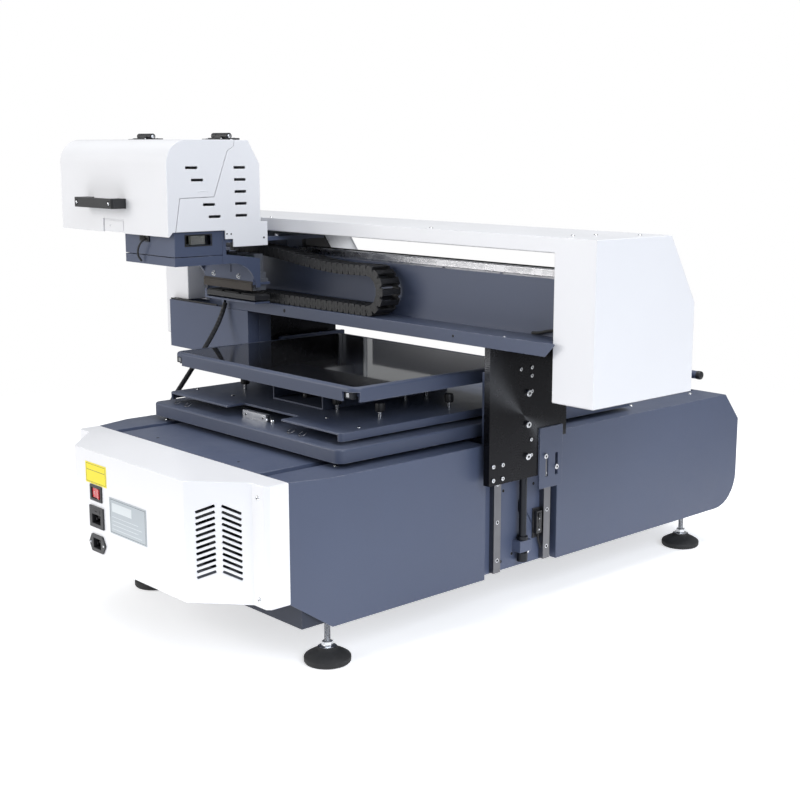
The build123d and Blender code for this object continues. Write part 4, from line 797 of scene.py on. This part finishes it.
class PRINTER_OT_body_finishes(bpy.types.Operator):
    """Finishes of the sheet metal and machined parts that keep their CAD shape."""

    bl_idname = "printer.body_finishes"
    bl_label = "Body finishes"

    def execute(self, context):
        finish = context.scene.printer_finish
        edge = finish.sheet_edge
        plans = (
            ("white", edge, ("front_cover", "hood_rear", "hood_lid")),
            ("white", 0.0025, ("arch_cover",)),
            ("grey", edge, ("front_side_covers", "rear_side_covers", "rear_cover", "beam", "centre_top_cover")),
            ("grey", 0.0008, ("drip_deck", "cap_station", "lamp_box", "carriage_frame")),
            ("table_grey", finish.lip_edge * 0.5, ("table_plate", "riser_plate")),
            ("table_grey", 0.001, ("platform_frame", "platform_channel")),
            ("inner_grey", None, ("base_frame",)),
            ("blue_steel", 0.0008, ("column_plates",)),
            ("anodised", 0.0006, ("end_plates",)),
            ("rail", 0.0006, ("lift_rails",)),
            ("rail_along_x", 0.0006, ("carriage_rail",)),
            ("rail_along_y", 0.0006, ("table_rails",)),
            ("zinc", 0.0005, ("lift_blocks", "table_blocks", "table_screw", "drive_pulley", "idler_pulley")),
            ("spindle", 0.0005, ("lift_screw_left", "lift_screw_right")),
            ("grey", 0.0008, ("rear_grab_rail",)),
            ("dark", 0.0006, ("stepper_motors", "carriage_motor", "fan_frames", "limit_switches")),
            ("plastic", 0.0004, ("fan_rotor_left", "fan_rotor_right", "power_switch_bezel", "power_inlet",
                                 "power_outlet", "hood_hinges")),
            ("rocker", 0.0006, ("power_rocker",)),
            ("rubber", 0.0004, ("cap_tray", "carriage_belt")),
            ("head", 0.0006, ("print_heads",)),
            ("lamp", 0.001, ("uv_lamp",)),
            ("ink", 0.001, ("ink_tanks",)),
            ("board", 0.001, ("electronics",)),
            ("bed", 0.0006, ("platform_top",)),
            ("dark", 0.0008, ("gantry_rear_frame",)),
        )
        for name, width, nodes in plans:
            for node in nodes:
                dress(node, name, width)
        split_finish("gantry_rear_frame", "aluminium", lambda c: -263 < c.x < -189 and c.y > -20)
        split_finish("end_plates", "grey", lambda c: abs(c.x) > 289.5)
        split_finish("hood_lid", "plastic", lambda c: c.z > 723.0)
        split_finish("cap_tray", "dark", lambda c: c.z < 469.5)
        return {"FINISHED"}


# ------------------------------------------------------------------ drag chain

class PRINTER_OT_drag_chain(bpy.types.Operator):
    """Links of the drag chain: two straight runs and the loop between them."""

    bl_idname = "printer.drag_chain"
    bl_label = "Drag chain"

    def execute(self, context):
        chain = context.scene.printer_chain
        bend_low, bend_high = box_mm("drag_chain_bend")
        radius = (bend_high.z - bend_low.z) / 2
        height = (box_mm("drag_chain_lower")[1].z - box_mm("drag_chain_lower")[0].z)
        centre = Vector((bend_low.x, 0, (bend_low.z + bend_high.z) / 2))
        middle = radius - height / 2
        top_low, top_high = box_mm("drag_chain_upper")
        start = top_low.x
        rise = top_high.z - height / 2
        z_top = centre.z + middle
        route = [(start, 0, rise), (start + 15, 0, rise), (start + 110, 0, rise - 4), (start + 200, 0, rise - 13),
                 (start + 270, 0, rise - 19), (centre.x - 42, 0, z_top - 1), (centre.x, 0, z_top)]
        pitch = chain.pitch / MM
        upper = self.strand("drag_chain_upper_links", route, pitch, height, chain, "drag_chain_upper")
        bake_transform(upper)
        low_z = centre.z - middle
        lower = self.strand("drag_chain_lower_links", [(start, 0, low_z), (0, 0, low_z), (centre.x, 0, low_z)], pitch,
                            height, chain, "drag_chain_lower")
        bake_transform(lower)
        form = Form()
        count = round(pi * middle / pitch)
        for i in range(count):
            turn = pi / 2 - pi * (i + 0.5) / count
            place = centre + Vector((middle * cos(turn), 0, middle * sin(turn)))
            along = Vector((sin(turn), 0, -cos(turn)))
            self.link(form, place, along, pitch * 1.02, height, chain)
        form.make("drag_chain_loop_links", "chain_loop", bevel=0.35, segments=1, replaces=("drag_chain_bend",),
                  slot="black_plastic")
        self.brackets(start, low_z, rise, height)
        return {"FINISHED"}

    def strand(self, name, route, pitch, height, chain, node):
        length = soft_line(route, 2)[1]
        count = round(length / pitch)
        points = soft_line(route, 2 * count + 1)[0]
        form = Form()
        for i in range(count):
            ahead = (points[2 * i + 2] - points[2 * i]).normalized()
            self.link(form, points[2 * i + 1], ahead, length / count, height, chain)
        return form.make(name, None, bevel=0.35, segments=1, replaces=(node,), slot="black_plastic")

    def link(self, form, centre, along, pitch, height, chain):
        """One link: two scalloped side plates, pivot bosses and the bars across."""
        low, high = box_mm("drag_chain_bend")
        thick = chain.side / MM
        bar = chain.bar / MM / 2
        up = Vector((0, 1, 0)).cross(along) * -1
        frame_of_link = Matrix((along, Vector((0, 1, 0)), up)).transposed().to_4x4()
        frame_of_link.translation = centre
        half = height / 2
        reach = pitch / 2 - 0.5
        outline = [(-reach, -half * 0.7), (-reach + 1.6, -half), (reach - 1.6, -half), (reach, -half * 0.7),
                   (reach, half * 0.7), (reach - 1.6, half), (-reach + 1.6, half), (-reach, half * 0.7)]
        for side in SIDES:
            outer = high.y if side > 0 else low.y
            y0 = outer - side * 0.4
            tongue = sorted((y0 - side * 1.2, y0 - side * (thick - 0.4)))
            form.box((reach - 0.5, tongue[0], -half * 0.6), (reach + 1.6, tongue[1], half * 0.6), "chain",
                     frame_of_link)
            y1 = y0 - side * thick
            ring = []
            for y in (min(y0, y1), max(y0, y1)):
                ring.append([frame_of_link @ Vector((x, y, z)) for x, z in outline])
            form.faces(ring, "chain")
            boss = frame_of_link @ at(pitch / 2 - 1.2, y0, 0, FACE_FRONT if side < 0 else FACE_REAR)
            form.lathe([(half * 0.42, -1), (half * 0.42, 0.02), (half * 0.36, 0.35)], "chain", boss, steps=14)
            tab = sorted((y0, y0 + side * 0.4))
            form.box((-pitch * 0.40, tab[0], -half * 0.62), (-pitch * 0.05, tab[1], half * 0.62), "chain",
                     frame_of_link)
        for z0, z1 in ((half - 2.2, half + 0.15), (-half - 0.15, -half + 2.2)):
            form.box((-bar, low.y + thick, z0), (bar, high.y - thick, z1), "chain", frame_of_link)
            for y in (low.y + thick + 4, high.y - thick - 9):
                form.box((-bar * 0.5, y, z0 - 0.3), (bar * 0.5, y + 5, z1 + 0.3), "chain", frame_of_link)

    def brackets(self, start, low_z, high_z, height):
        """End tabs that hold the chain to the tray and to the carriage."""
        low, high = box_mm("drag_chain_bend")
        y0, y1 = low.y + 5, high.y - 5
        fixed = Form()
        deck = low_z - height / 2
        fixed.box((start - 6, y0, deck), (start + 4, y1, deck + 2), "zinc")
        for y in (y0 + 6, y1 - 6):
            fixed.button_screw(at(start - 3, y, deck + 2), 2.4)
        fixed.make("chain_fixed_tab", "gantry", bevel=0.3, slot="bright_steel")
        moving = Form()
        top = high_z + height / 2
        moving.box((start + 1, y0 + 2, top - 0.6), (start + 13, y1 - 2, top + 0.6), "zinc")
        moving.make("chain_moving_tab", "carriage", bevel=0.3, slot="bright_steel")


# ------------------------------------------------------------------ base fittings

class PRINTER_OT_feet(bpy.types.Operator):
    """Levelling feet: ribbed rubber cups on threaded studs with hexagon nuts."""

    bl_idname = "printer.feet"
    bl_label = "Levelling feet"

    def execute(self, context):
        pitch = context.scene.printer_fittings.thread_pitch / MM
        cups, studs = Form(), Form()
        low, high = box_mm("foot_cups")
        stud_top = box_mm("foot_studs")[1].z
        radius = 33.5
        rim = radius - 3.5
        for x in (low.x + radius, high.x - radius):
            for y in (low.y + radius, high.y - radius):
                place = at(x, y, 0)
                cups.lathe([(rim - 4, 0), (rim + 1.5, 0), (radius - 0.2, 2.2), (radius, 5), (radius, 8.5),
                            (radius - 1.2, 10.4), (radius - 4.5, 12.6), (radius - 9, 15.2), (19, 17.8), (15.5, 19.4),
                            (14.2, 21), (13.8, 23), (7, 23)], "rubber", place, steps=48)
                for i in range(24):
                    turn = at(x, y, 0, Matrix.Rotation(2 * pi * i / 24, 4, "Z"))
                    cups.box((radius - 2.4, -1.1, 2.4), (radius - 0.05, 1.1, 8.2), "rubber", turn)
                studs.lathe([(12.5, 21.8), (12.5, 23.6), (11.4, 24.2), (6, 24.2)], "zinc", place)
                profile = []
                z = 23.0
                while z < stud_top - pitch:
                    profile += [(3.9, z), (4.5, z + pitch / 2)]
                    z += pitch
                studs.lathe(profile, "zinc", place, steps=20)
                for z0, z1 in ((24.2, 31), (60.2, 67.8)):
                    studs.lathe([(7.2, z0), (8.4, z0 + 0.7), (8.4, z1 - 0.7), (7.2, z1)], "zinc", place, sides=6)
        cups.make("foot_cup_rubbers", "base", bevel=0.25, segments=1, replaces=("foot_cups",), slot="black_rubber")
        studs.make("foot_stud_threads", "base", replaces=("foot_studs",), slot="bright_steel")
        return {"FINISHED"}


class PRINTER_OT_front_panel(bpy.types.Operator):
    """Blank plates, socket details and a near-black sheet behind the louvres of the white front cover, painted shade
    that fills the slots.
    """

    bl_idname = "printer.front_panel"
    bl_label = "Front panel"

    def execute(self, context):
        face = box_mm("front_cover")[0].y
        plates = Form()
        self.plate(plates, (-115, -56), (227, 258), face, "notice", 0.5)
        self.plate(plates, (-49, 50), (163, 216), face, "rating", 0.7)
        plates.box((-42, face - 0.85, 196), (12, face - 0.6, 209), "plate_field")
        for i in range(4):
            plates.box((-42, face - 0.85, 170 + i * 6), (38 - 9 * (i % 2), face - 0.6, 170.9 + i * 6), "plate_field")
        plates.box((-111, face - 0.62, 246.5), (-60, face - 0.45, 247.2), "print_ink")
        plates.make("front_plates", "base", bevel=0.1, segments=1, replaces=("label_plates",), slot="label")
        trim = Form()
        inlet_low, inlet_high = box_mm("power_inlet")
        outlet_low, outlet_high = box_mm("power_outlet")
        middle = (inlet_low.x + inlet_high.x) / 2
        y, z = inlet_low.y, inlet_high.z
        trim.box((middle - 11, y - 0.35, z - 9.4), (middle + 11, y + 0.5, z - 4), "plastic")
        # Painted shade: a small near-black patch standing in for an opening in the trim.
        trim.box((middle - 3, y - 0.6, z - 7.6), (middle + 3, y - 0.2, z - 6), "painted_shade")
        for x in (outlet_low.x + 4.5, outlet_high.x - 4.5):
            trim.button_screw(at(x, outlet_low.y, (outlet_low.z + outlet_high.z) / 2, FACE_FRONT), 1.9)
        trim.make("socket_trim", "base", bevel=0.2, segments=1)
        rocker_low, rocker_high = box_mm("power_rocker")
        marks = Form()
        z = (rocker_low.z + rocker_high.z) / 2
        marks.box((rocker_low.x + 4.4, -555.72, z - 2.4), (rocker_low.x + 5.3, -555.3, z + 2.4), "white")
        marks.make("rocker_mark", "rocker")
        # Painted shade: near-black sheets just behind the louvres, so the slots read as shaded openings.
        louvre_shade = Form()
        run = Vector((216 - 147, -494 + 555, 0)).normalized()
        inward = Vector((-run.y, run.x, 0))
        for side in SIDES:
            for along in (0.0, 84.0):
                base = Vector((147, -555, 0)) + run * (along + 2) + inward * 3
                far = base + run * 6
                corners = [base, far, far + inward * 1.2, base + inward * 1.2]
                outline = [(side * c.x, c.y) for c in corners]
                louvre_shade.prism(outline, 138, 250, "painted_shade")
        louvre_shade.make("louvre_painted_shade", "base")
        return {"FINISHED"}

    def plate(self, form, span_x, span_z, face, name, thick):
        """Thin plate with a printed border line."""
        (x0, x1), (z0, z1) = span_x, span_z
        form.box((x0, face - thick, z0), (x1, face, z1), name)
        y0, y1 = face - thick - 0.08, face - thick + 0.05
        for a, b, c, d in ((x0 + 2, x1 - 2, z0 + 2, z0 + 2.6), (x0 + 2, x1 - 2, z1 - 2.6, z1 - 2),
                           (x0 + 2, x0 + 2.6, z0 + 2, z1 - 2), (x1 - 2.6, x1 - 2, z0 + 2, z1 - 2)):
            form.box((a, y0, c), (b, y1, d), "print_ink")


class PRINTER_OT_cover_screws(bpy.types.Operator):
    """Domed screws that hold the covers, with a few set-screw holes."""

    bl_idname = "printer.cover_screws"
    bl_label = "Cover screws"

    def execute(self, context):
        radius = context.scene.printer_fittings.button_head / MM
        top = box_mm("front_side_covers")[1].z
        screws = Form()
        for side in SIDES:
            for z in (118, 258):
                screws.button_screw(at(side * 229, -494, z, FACE_FRONT), radius)
            for y in (-352, -187, 90, 300, 470):
                screws.button_screw(at(side * 217, y, top), radius)
            for y in (-438, -150):
                screws.dark_hole(at(side * 106, y, top), 2.4, material_name="grey")
        for x in (-220, 0, 220):
            for z in (128, 214):
                screws.button_screw(at(x, 555, z, FACE_REAR), 3.2)
        screws.make("cover_screw_heads", "base", replaces=("cover_screws",), slot="bright_steel")
        ends = Form()
        corner = box_mm("rear_grab_rail")[1]
        y, z = corner.y - 7.5, corner.z - 7.5
        for side in SIDES:
            ends.lathe([(7.9, -6), (8.1, -1), (7.4, 1.6), (5.0, 3.2), (1.5, 3.9)], "plastic",
                       at(side * 195, y, z, outward(side)))
        for x in (-120, 120):
            ends.lathe([(11, 0), (11, 2.5), (9.5, 3.5), (5.2, 3.5)], "grey", at(x, 506, 276))
        ends.make("grab_rail_ends", "base", slot="black_plastic")
        return {"FINISHED"}


class PRINTER_OT_column_bay(bpy.types.Operator):
    """Rail screws, column bolts and the limit switch in each column bay."""

    bl_idname = "printer.column_bay"
    bl_label = "Column bays"

    def execute(self, context):
        head = context.scene.printer_fittings.socket_head / MM
        bay = Form()
        rail_face = box_mm("lift_rails")[1].x
        for side in SIDES:
            turn = outward(side)
            for y in (-80, 32):
                for i in range(5):
                    bay.dark_hole(at(side * rail_face, y, 92 + i * 60, turn), 2.3, 0.8, "zinc")
            bay.socket_screw(at(side * 257, -7.8, 92, turn), head * 1.2, 5)
            bay.lathe([(head * 1.9, 0), (head * 1.9, 0.8), (head * 1.2, 0.8)], "zinc", at(side * 257, -7.8, 92, turn))
            for y, z in ((-37.5, 92), (-62, 84), (-58, 196), (10, 196)):
                bay.dark_hole(at(side * 257, y, z, turn), 2.6, 0.4, "blue_steel")
        bay.make("column_bay_screws", "base", slot="bright_steel")
        switch = Form()
        for side in SIDES:
            switch.box(*sideways(side, (257.2, 259), (8, 24), (108, 156)), "dark")
            switch.box(*sideways(side, (259, 265.5), (10, 22), (116, 152)), "plastic")
            switch.box(*sideways(side, (265.5, 266.3), (14, 17), (124, 149)), "dark")
            turn = outward(side)
            for z in (122, 140):
                switch.button_screw(at(side * 265.5, 16, z, turn), 1.7)
        switch.make("limit_switch_parts", "base", bevel=0.3, slot="black_plastic")
        leads = Form()
        for side in SIDES:
            points, _ = soft_line([(side * 262, 16, 117), (side * 262, 18, 104), (side * 261, 24, 92),
                                   (side * 259, 30, 78)], 20)
            leads.tube(points, 1.5, "rubber", steps=8)
        leads.make("limit_switch_pigtails", "base", slot="black_rubber")
        return {"FINISHED"}


# ------------------------------------------------------------------ table

class PRINTER_OT_table_fittings(bpy.types.Operator):
    """Levelling posts, clamp block, wire hooks, screws and corner inserts of the table."""

    bl_idname = "printer.table_fittings"
    bl_label = "Table fittings"

    def execute(self, context):
        top = box_mm("table_plate")[1].z
        riser_low, riser_high = box_mm("riser_plate")
        riser = riser_high.z
        posts = Form()
        for x, y in ((-153, -243), (83, -241), (169, -230), (89, -109), (183, -103), (86, -61), (-183, -103),
                     (-89, -109)):
            posts.lathe([(7, 0), (7, riser - 3 - top)], "zinc", at(x, y, top))
            posts.lathe([(2.9, 0), (2.9, 10)], "zinc", at(x, y, riser))
            knob = [(5.2, 8.6), (6.6, 9.2), (7, 10.4), (7, 19.6), (6.4, 21.6), (4.5, 22.4), (2.6, 22.4)]
            posts.lathe(knob, "plastic", at(x, y, riser), steps=24)
            for i in range(12):
                posts.box((6.5, -0.7, 10.6), (7.35, 0.7, 19.4), "plastic",
                          at(x, y, riser, Matrix.Rotation(2 * pi * i / 12, 4, "Z")))
        posts.box((-38, -329, top), (22, -322, top + 12), "zinc")
        posts.box((-38, -321, top), (22, -315, top + 7), "aluminium")
        for x in (-30, 14):
            posts.dark_hole(at(x, -329, top + 6, FACE_FRONT), 1.8, 0.3)
        posts.socket_screw(at(30, -322, top), 3.4, 5)
        posts.make("table_posts_and_clamp", "table", bevel=0.4, replaces=("table_fittings",), slot="bright_steel")
        small = Form()
        for x in (-192, -163, 107, 134):
            points, _ = soft_line([(x - 5, riser_low.y + 3, top + 6), (x - 5, riser_low.y - 4, top + 2.5),
                                   (x, riser_low.y - 7, top + 1.6), (x + 5, riser_low.y - 4, top + 2.5),
                                   (x + 5, riser_low.y + 3, top + 6)], 18)
            small.tube(points, 0.6, "rail", steps=8, side=Vector((0, 0, 1)))
        for x, y in ((-205, -300), (205, -300), (205, 30), (-205, 30), (120, -290), (-120, -290)):
            small.button_screw(at(x, y, riser), 2.8)
        low, high = box_mm("platform_frame")
        for side in SIDES:
            x0, x1 = sorted((side * (high.x - 25.6), side * (high.x - 7)))
            small.box((x0, low.y + 3.5, low.z + 4), (x1, low.y + 11.8, high.z - 7.4), "spindle")
            small.box((x0 + 5, low.y + 2.8, low.z + 6), (x1 - 7, low.y + 3.6, high.z - 9), "zinc")
        channel_low, channel_high = box_mm("platform_channel")
        for x in (channel_low.x + 34, channel_high.x - 34):
            small.socket_screw(at(x, channel_low.y + 40, channel_low.z + 3), 6, 7, "plastic")
        small.make("table_small_parts", "table", bevel=0.3)
        return {"FINISHED"}


# ------------------------------------------------------------------ gantry

class PRINTER_OT_gantry_trim(bpy.types.Operator):
    """Bolts of the end plates and the small parts of the tray, cap box, arch and beam."""

    bl_idname = "printer.gantry_trim"
    bl_label = "Gantry trim"

    def execute(self, context):
        self.plate_bolts(context.scene.printer_fittings.socket_head / MM)
        self.tray_parts()
        self.arch_parts()
        self.rear_parts()
        return {"FINISHED"}

    def plate_bolts(self, head):
        bolts = Form()
        for side in SIDES:
            turn = outward(side)
            for y, z in ((-41, 350.5), (-41, 302.5), (-41, 253)):
                bolts.socket_screw(at(side * 289, y, z, turn), head, 4.5)
            for y, z in ((-57, 388.5), (-33, 389), (-33, 376.3), (-32.3, 352.5), (-32, 278), (-31.5, 254)):
                bolts.socket_screw(at(side * 289, y, z, turn), head * 0.55, 1.6)
            for y, z in ((-114, 248.5), (-94, 248.5), (-114, 227.5), (-94, 227.5)):
                bolts.socket_screw(at(side * 289, y, z, turn), head * 0.62, 2.2)
            for y, z in ((-3, 248), (22, 228)):
                bolts.socket_screw(at(side * 292, y, z, turn), head * 0.8, 3.2)
            for y in (-70, -55):
                bolts.dark_hole(at(side * 289, y, 236, turn), 1.2, 0.3, "anodised")
        bolts.make("end_plate_bolts", "gantry", slot="bright_steel")

    def tray_parts(self):
        low, high = box_mm("drip_deck")
        parts = Form()
        parts.dark_hole(at(-139, low.y, 446, FACE_FRONT), 3.2, 0.5, "grey")
        parts.dark_hole(at(262, low.y, 446, FACE_FRONT), 2.2, 0.5, "grey")
        parts.button_screw(at(362, low.y + 2.4, high.z), 2.0)
        parts.box((222, -160, 434.5), (240, -150, 435.6), "zinc")
        for x in (222, 238.8):
            parts.box((x, -160, 435.6), (x + 1.2, -150, 440), "zinc")
        for x in (0, 88, 300):
            parts.socket_screw(at(x, -150, low.z + 3, FACE_DOWN), 3.2, 3.4)
        points, _ = soft_line([(372, -124, 457.6), (386, -124.5, 459), (402, -124, 463), (420, -123.5, 465),
                               (438, -123, 462)], 28)
        parts.tube(points, 2.2, "rubber", steps=8, side=Vector((0, 0, 1)))
        parts.make("drip_tray_parts", "gantry", bevel=0.3)
        cap = Form()
        cap.box((-486, -171, 436.5), (-338, -168.5, 439), "rubber")
        cap.box((-330, -171, 436.5), (-247, -168.5, 438), "rubber")
        cap.box((-246, -150, 352), (-241, -128, 436), "grey")
        cap.make("cap_box_trim", "gantry", bevel=0.3)

    def arch_parts(self):
        top = box_mm("arch_cover")[1].z
        screws = Form()
        for x, y in ((-200, -150), (192, -150), (440, -121), (449, -84), (-440, -121), (-449, -84), (490, -40),
                     (-490, -40)):
            screws.button_screw(at(x, y, top), 3.0)
        for x in (-440, -300, -200, 320, 430):
            screws.button_screw(at(x, 51.7, 430, FACE_REAR), 3.0)
        screws.make("arch_screws", "gantry", slot="bright_steel")

    def rear_parts(self):
        """Rail holes, beam screws and the edge strips of the bright rear panel."""
        rear = Form()
        low, high = box_mm("beam")
        for x in range(-400, 420, 80):
            rear.dark_hole(at(x, -90.5, high.z + 10), 2.2, 0.5, "rail_along_x")
        for x in (-60, 60, 180, 300):
            rear.button_screw(at(x, low.y + 6, high.z), 2.2, "grey")
        for x in (-262, -193):
            rear.box((x, 41, 392), (x + 3, 48, 498), "aluminium")
        rear.make("gantry_rear_parts", "gantry", bevel=0.4)


# ------------------------------------------------------------------ carriage

class PRINTER_OT_carriage_trim(bpy.types.Operator):
    """Lamp window, head carrier, nozzle plates and small parts under the hood."""

    bl_idname = "printer.carriage_trim"
    bl_label = "Carriage trim"

    def execute(self, context):
        lamp_low, lamp_high = box_mm("lamp_box")
        lamp = Form()
        x = lamp_high.x
        for y0, y1, z0, z1 in ((-339.5, -288.5, 556.5, 558.2), (-339.5, -288.5, 573.8, 575.5),
                               (-339.5, -337.8, 558.2, 573.8), (-290.2, -288.5, 558.2, 573.8)):
            lamp.box((x - 0.2, y0, z0), (x + 0.6, y1, z1), "plastic")
        lamp.box((x - 9, -326, 559), (x - 3.2, -300, 573), "lamp")
        lamp.box((lamp_low.x + 48, lamp_low.y - 2.2, 562.5), (lamp_low.x + 76, lamp_low.y + 2, 573.5), "plastic")
        # Painted shade: a near-black patch standing in for the opening in the plastic block.
        lamp.box((lamp_low.x + 52, lamp_low.y - 3.2, 564.5), (lamp_low.x + 66, lamp_low.y - 2.2, 571.5), "painted_shade")
        lamp.make("lamp_window", "carriage", bevel=0.3, slot="lamp_blue")
        lead = Form()
        points, _ = soft_line([(-248, -360.5, 567), (-250, -368, 562), (-258, -369.5, 552), (-264, -367, 540),
                               (-262, -362, 530)], 30)
        lead.tube(points, 1.6, "rubber", steps=10, side=Vector((1, 0, 0)))
        lead.make("lamp_pigtail", "carriage", slot="black_rubber")
        heads = Form()
        heads.box((-314, -211.5, 478.5), (-174, -209.2, 491), "head_steel")
        heads.box((-314, -210.5, 491), (-174, -207, 493.5), "head_steel")
        for x in (-286, -213):
            heads.socket_screw(at(x, -209, 500, FACE_FRONT), 3.2, 3.4)
            heads.lathe([(4.6, 0), (4.6, 0.6), (3, 0.6)], "zinc", at(x, -209, 500, FACE_FRONT))
        for x in (-292, -244, -196):
            heads.box((x - 16, -200, 477.4), (x + 16, -181, 478.6), "zinc")
            heads.box((x - 10, -204.6, 508), (x + 10, -199, 534), "board")
            heads.socket_screw(at(x - 18, -203, 498, FACE_DOWN.inverted()), 2.2, 2)
        heads.make("head_carrier", "carriage", bevel=0.3, slot="bright_steel")
        arm = Form()
        for y, z, r in ((-264, 574.5, 1.5), (-256, 574, 1.5), (-192, 566, 1.8)):
            arm.dark_hole(at(-164, y, z, FACE_RIGHT), r, 0.2, "white")
        for x in (-300, -262, -224, -186):
            arm.socket_screw(at(x, -150, 566), 3.2, 3.6)
        arm.make("carriage_arm_parts", "carriage", bevel=0.3)
        return {"FINISHED"}


class PRINTER_OT_hood_trim(bpy.types.Operator):
    """Handle, hinge pins and leaves, notch panel, blind slot and seam lips of the hood."""

    bl_idname = "printer.hood_trim"
    bl_label = "Hood trim"

    def execute(self, context):
        low, high = box_mm("lid_handle")
        handle = Form()
        outline = [(low.x, high.y), (low.x, low.y + 3.5), (low.x + 3.5, low.y), (high.x - 3.5, low.y),
                   (high.x, low.y + 3.5), (high.x, high.y), (high.x - 22, high.y), (high.x - 22, high.y - 2.5),
                   (high.x - 17, low.y + 7.5), (low.x + 17, low.y + 7.5), (low.x + 22, high.y - 2.5),
                   (low.x + 22, high.y)]
        handle.prism(outline, low.z, high.z, "plastic")
        middle = (low.z + high.z) / 2
        for x in (low.x + 10, high.x - 10):
            # Painted shade: a near-black ring round each screw standing in for the counterbore.
            handle.lathe([(4.6, -0.2), (4.6, 0.3), (3.4, 0.3)], "painted_shade", at(x, low.y, middle, FACE_FRONT))
            handle.button_screw(at(x, low.y + 0.1, middle, FACE_FRONT), 2.9)
        handle.make("lid_grip", "lid", bevel=1.3, segments=3, replaces=("lid_handle",), slot="black_plastic")
        pins = Form()
        hinge = JOINTS["hood_lid_hinge"]["pos_m"]
        y, z = hinge[1] / MM, hinge[2] / MM
        for x in (-433, -204):
            for side in SIDES:
                turn = outward(side)
                pins.lathe([(3.2, 0), (3.0, 0.9), (1.8, 1.4)], "zinc", at(x + side * 22, y, z, turn))
            for dx in (-15, 15):
                pins.button_screw(at(x + dx, y + 14, 725.4), 2.0, "zinc")
        pins.make("hinge_pins", "carriage", slot="bright_steel")
        leaf = Form()
        for x in (-433, -204):
            leaf.box((x - 26, y - 20, 722.3), (x + 26, y - 7, 724.0), "plastic")
            for dx in (-20, 20):
                leaf.button_screw(at(x + dx, y - 14, 724.0), 2.0, "zinc")
        leaf.make("hinge_lid_leaves", "lid", bevel=0.5)
        panel = Form()
        panel.box((-364, -369.6, 574), (-295, -368.4, 596), "white")
        panel.box((-359, -371.2, 576), (-300, -369.6, 592), "white")
        panel.button_screw(at(-341, -371.2, 584, FACE_FRONT), 2.0, "white")
        panel.make("lid_notch_panel", "lid", bevel=0.6, slot="white_paint")
        lines = Form()
        for side, face in ((1, -164.0), (-1, -500.0)):
            points, _ = soft_line([(0, -316, 641), (0, -313.5, 642.6), (0, -300, 642.6), (0, -297.5, 641)], 14)
            lines.tube([Vector((face + side * 0.1, p.y, p.z)) for p in points], 0.5, "white", steps=8,
                       side=Vector((1, 0, 0)))
        lines.make("lid_blind_slot", "lid", slot="white_paint")
        lips = Form()
        seam = [(-244.6, 722), (-247, 712), (-258.6, 706), (-286, 633), (-349, 631.5), (-360, 583)]
        for x0, x1 in ((-168.2, -166.1), (-497.9, -495.8)):
            for (ya, za), (yb, zb) in zip(seam, seam[1:]):
                along = Vector((0, yb - ya, zb - za))
                across = Vector((0, -along.z, along.y)).normalized() * 6
                corners = [(ya + across.y, za + across.z), (yb + across.y, zb + across.z),
                           (yb - across.y, zb - across.z), (ya - across.y, za - across.z)]
                lips.faces([[Vector((x, y, z)) for y, z in corners] for x in (x0, x1)], "white")
        lips.make("hood_seam_lips", "carriage", slot="white_paint")
        return {"FINISHED"}


# ------------------------------------------------------------------ registration

OPERATORS = (PRINTER_OT_stage, PRINTER_OT_gantry_lead, PRINTER_OT_body_finishes, PRINTER_OT_drag_chain,
             PRINTER_OT_feet, PRINTER_OT_front_panel, PRINTER_OT_cover_screws, PRINTER_OT_column_bay,
             PRINTER_OT_table_fittings, PRINTER_OT_gantry_trim, PRINTER_OT_carriage_trim, PRINTER_OT_hood_trim)


class PRINTER_PT_parts(bpy.types.Panel):
    """Lists the sizes, the colours and the building steps."""

    bl_idname = "PRINTER_PT_parts"
    bl_label = "Flatbed printer"
    bl_space_type = "VIEW_3D"
    bl_region_type = "UI"
    bl_category = "Printer"

    def draw(self, context):
        for group in (context.scene.printer_finish, context.scene.printer_chain, context.scene.printer_fittings,
                      context.scene.printer_stage):
            column = self.layout.column(align=True)
            for name in group.__annotations__:
                column.prop(group, name)
        column = self.layout.column(align=True)
        for operator in OPERATORS:
            column.operator(operator.bl_idname)


SETTINGS = {"printer_finish": FinishSettings, "printer_chain": ChainSettings, "printer_fittings": FittingSettings,
            "printer_stage": StageSettings}


def register():
    for group in SETTINGS.values():
        bpy.utils.register_class(group)
    for name, group in SETTINGS.items():
        setattr(bpy.types.Scene, name, PointerProperty(type=group))
    for operator in OPERATORS:
        bpy.utils.register_class(operator)
    bpy.utils.register_class(PRINTER_PT_parts)


def unregister():
    bpy.utils.unregister_class(PRINTER_PT_parts)
    for operator in reversed(OPERATORS):
        bpy.utils.unregister_class(operator)
    for name, group in SETTINGS.items():
        delattr(bpy.types.Scene, name)
        bpy.utils.unregister_class(group)


def main():
    register()
    for operator in OPERATORS:
        group, name = operator.bl_idname.split(".")
        if getattr(getattr(bpy.ops, group), name)() != {"FINISHED"}:
            raise RuntimeError(f"{operator.bl_label} did not finish")


if __name__ == "__main__":
    main()
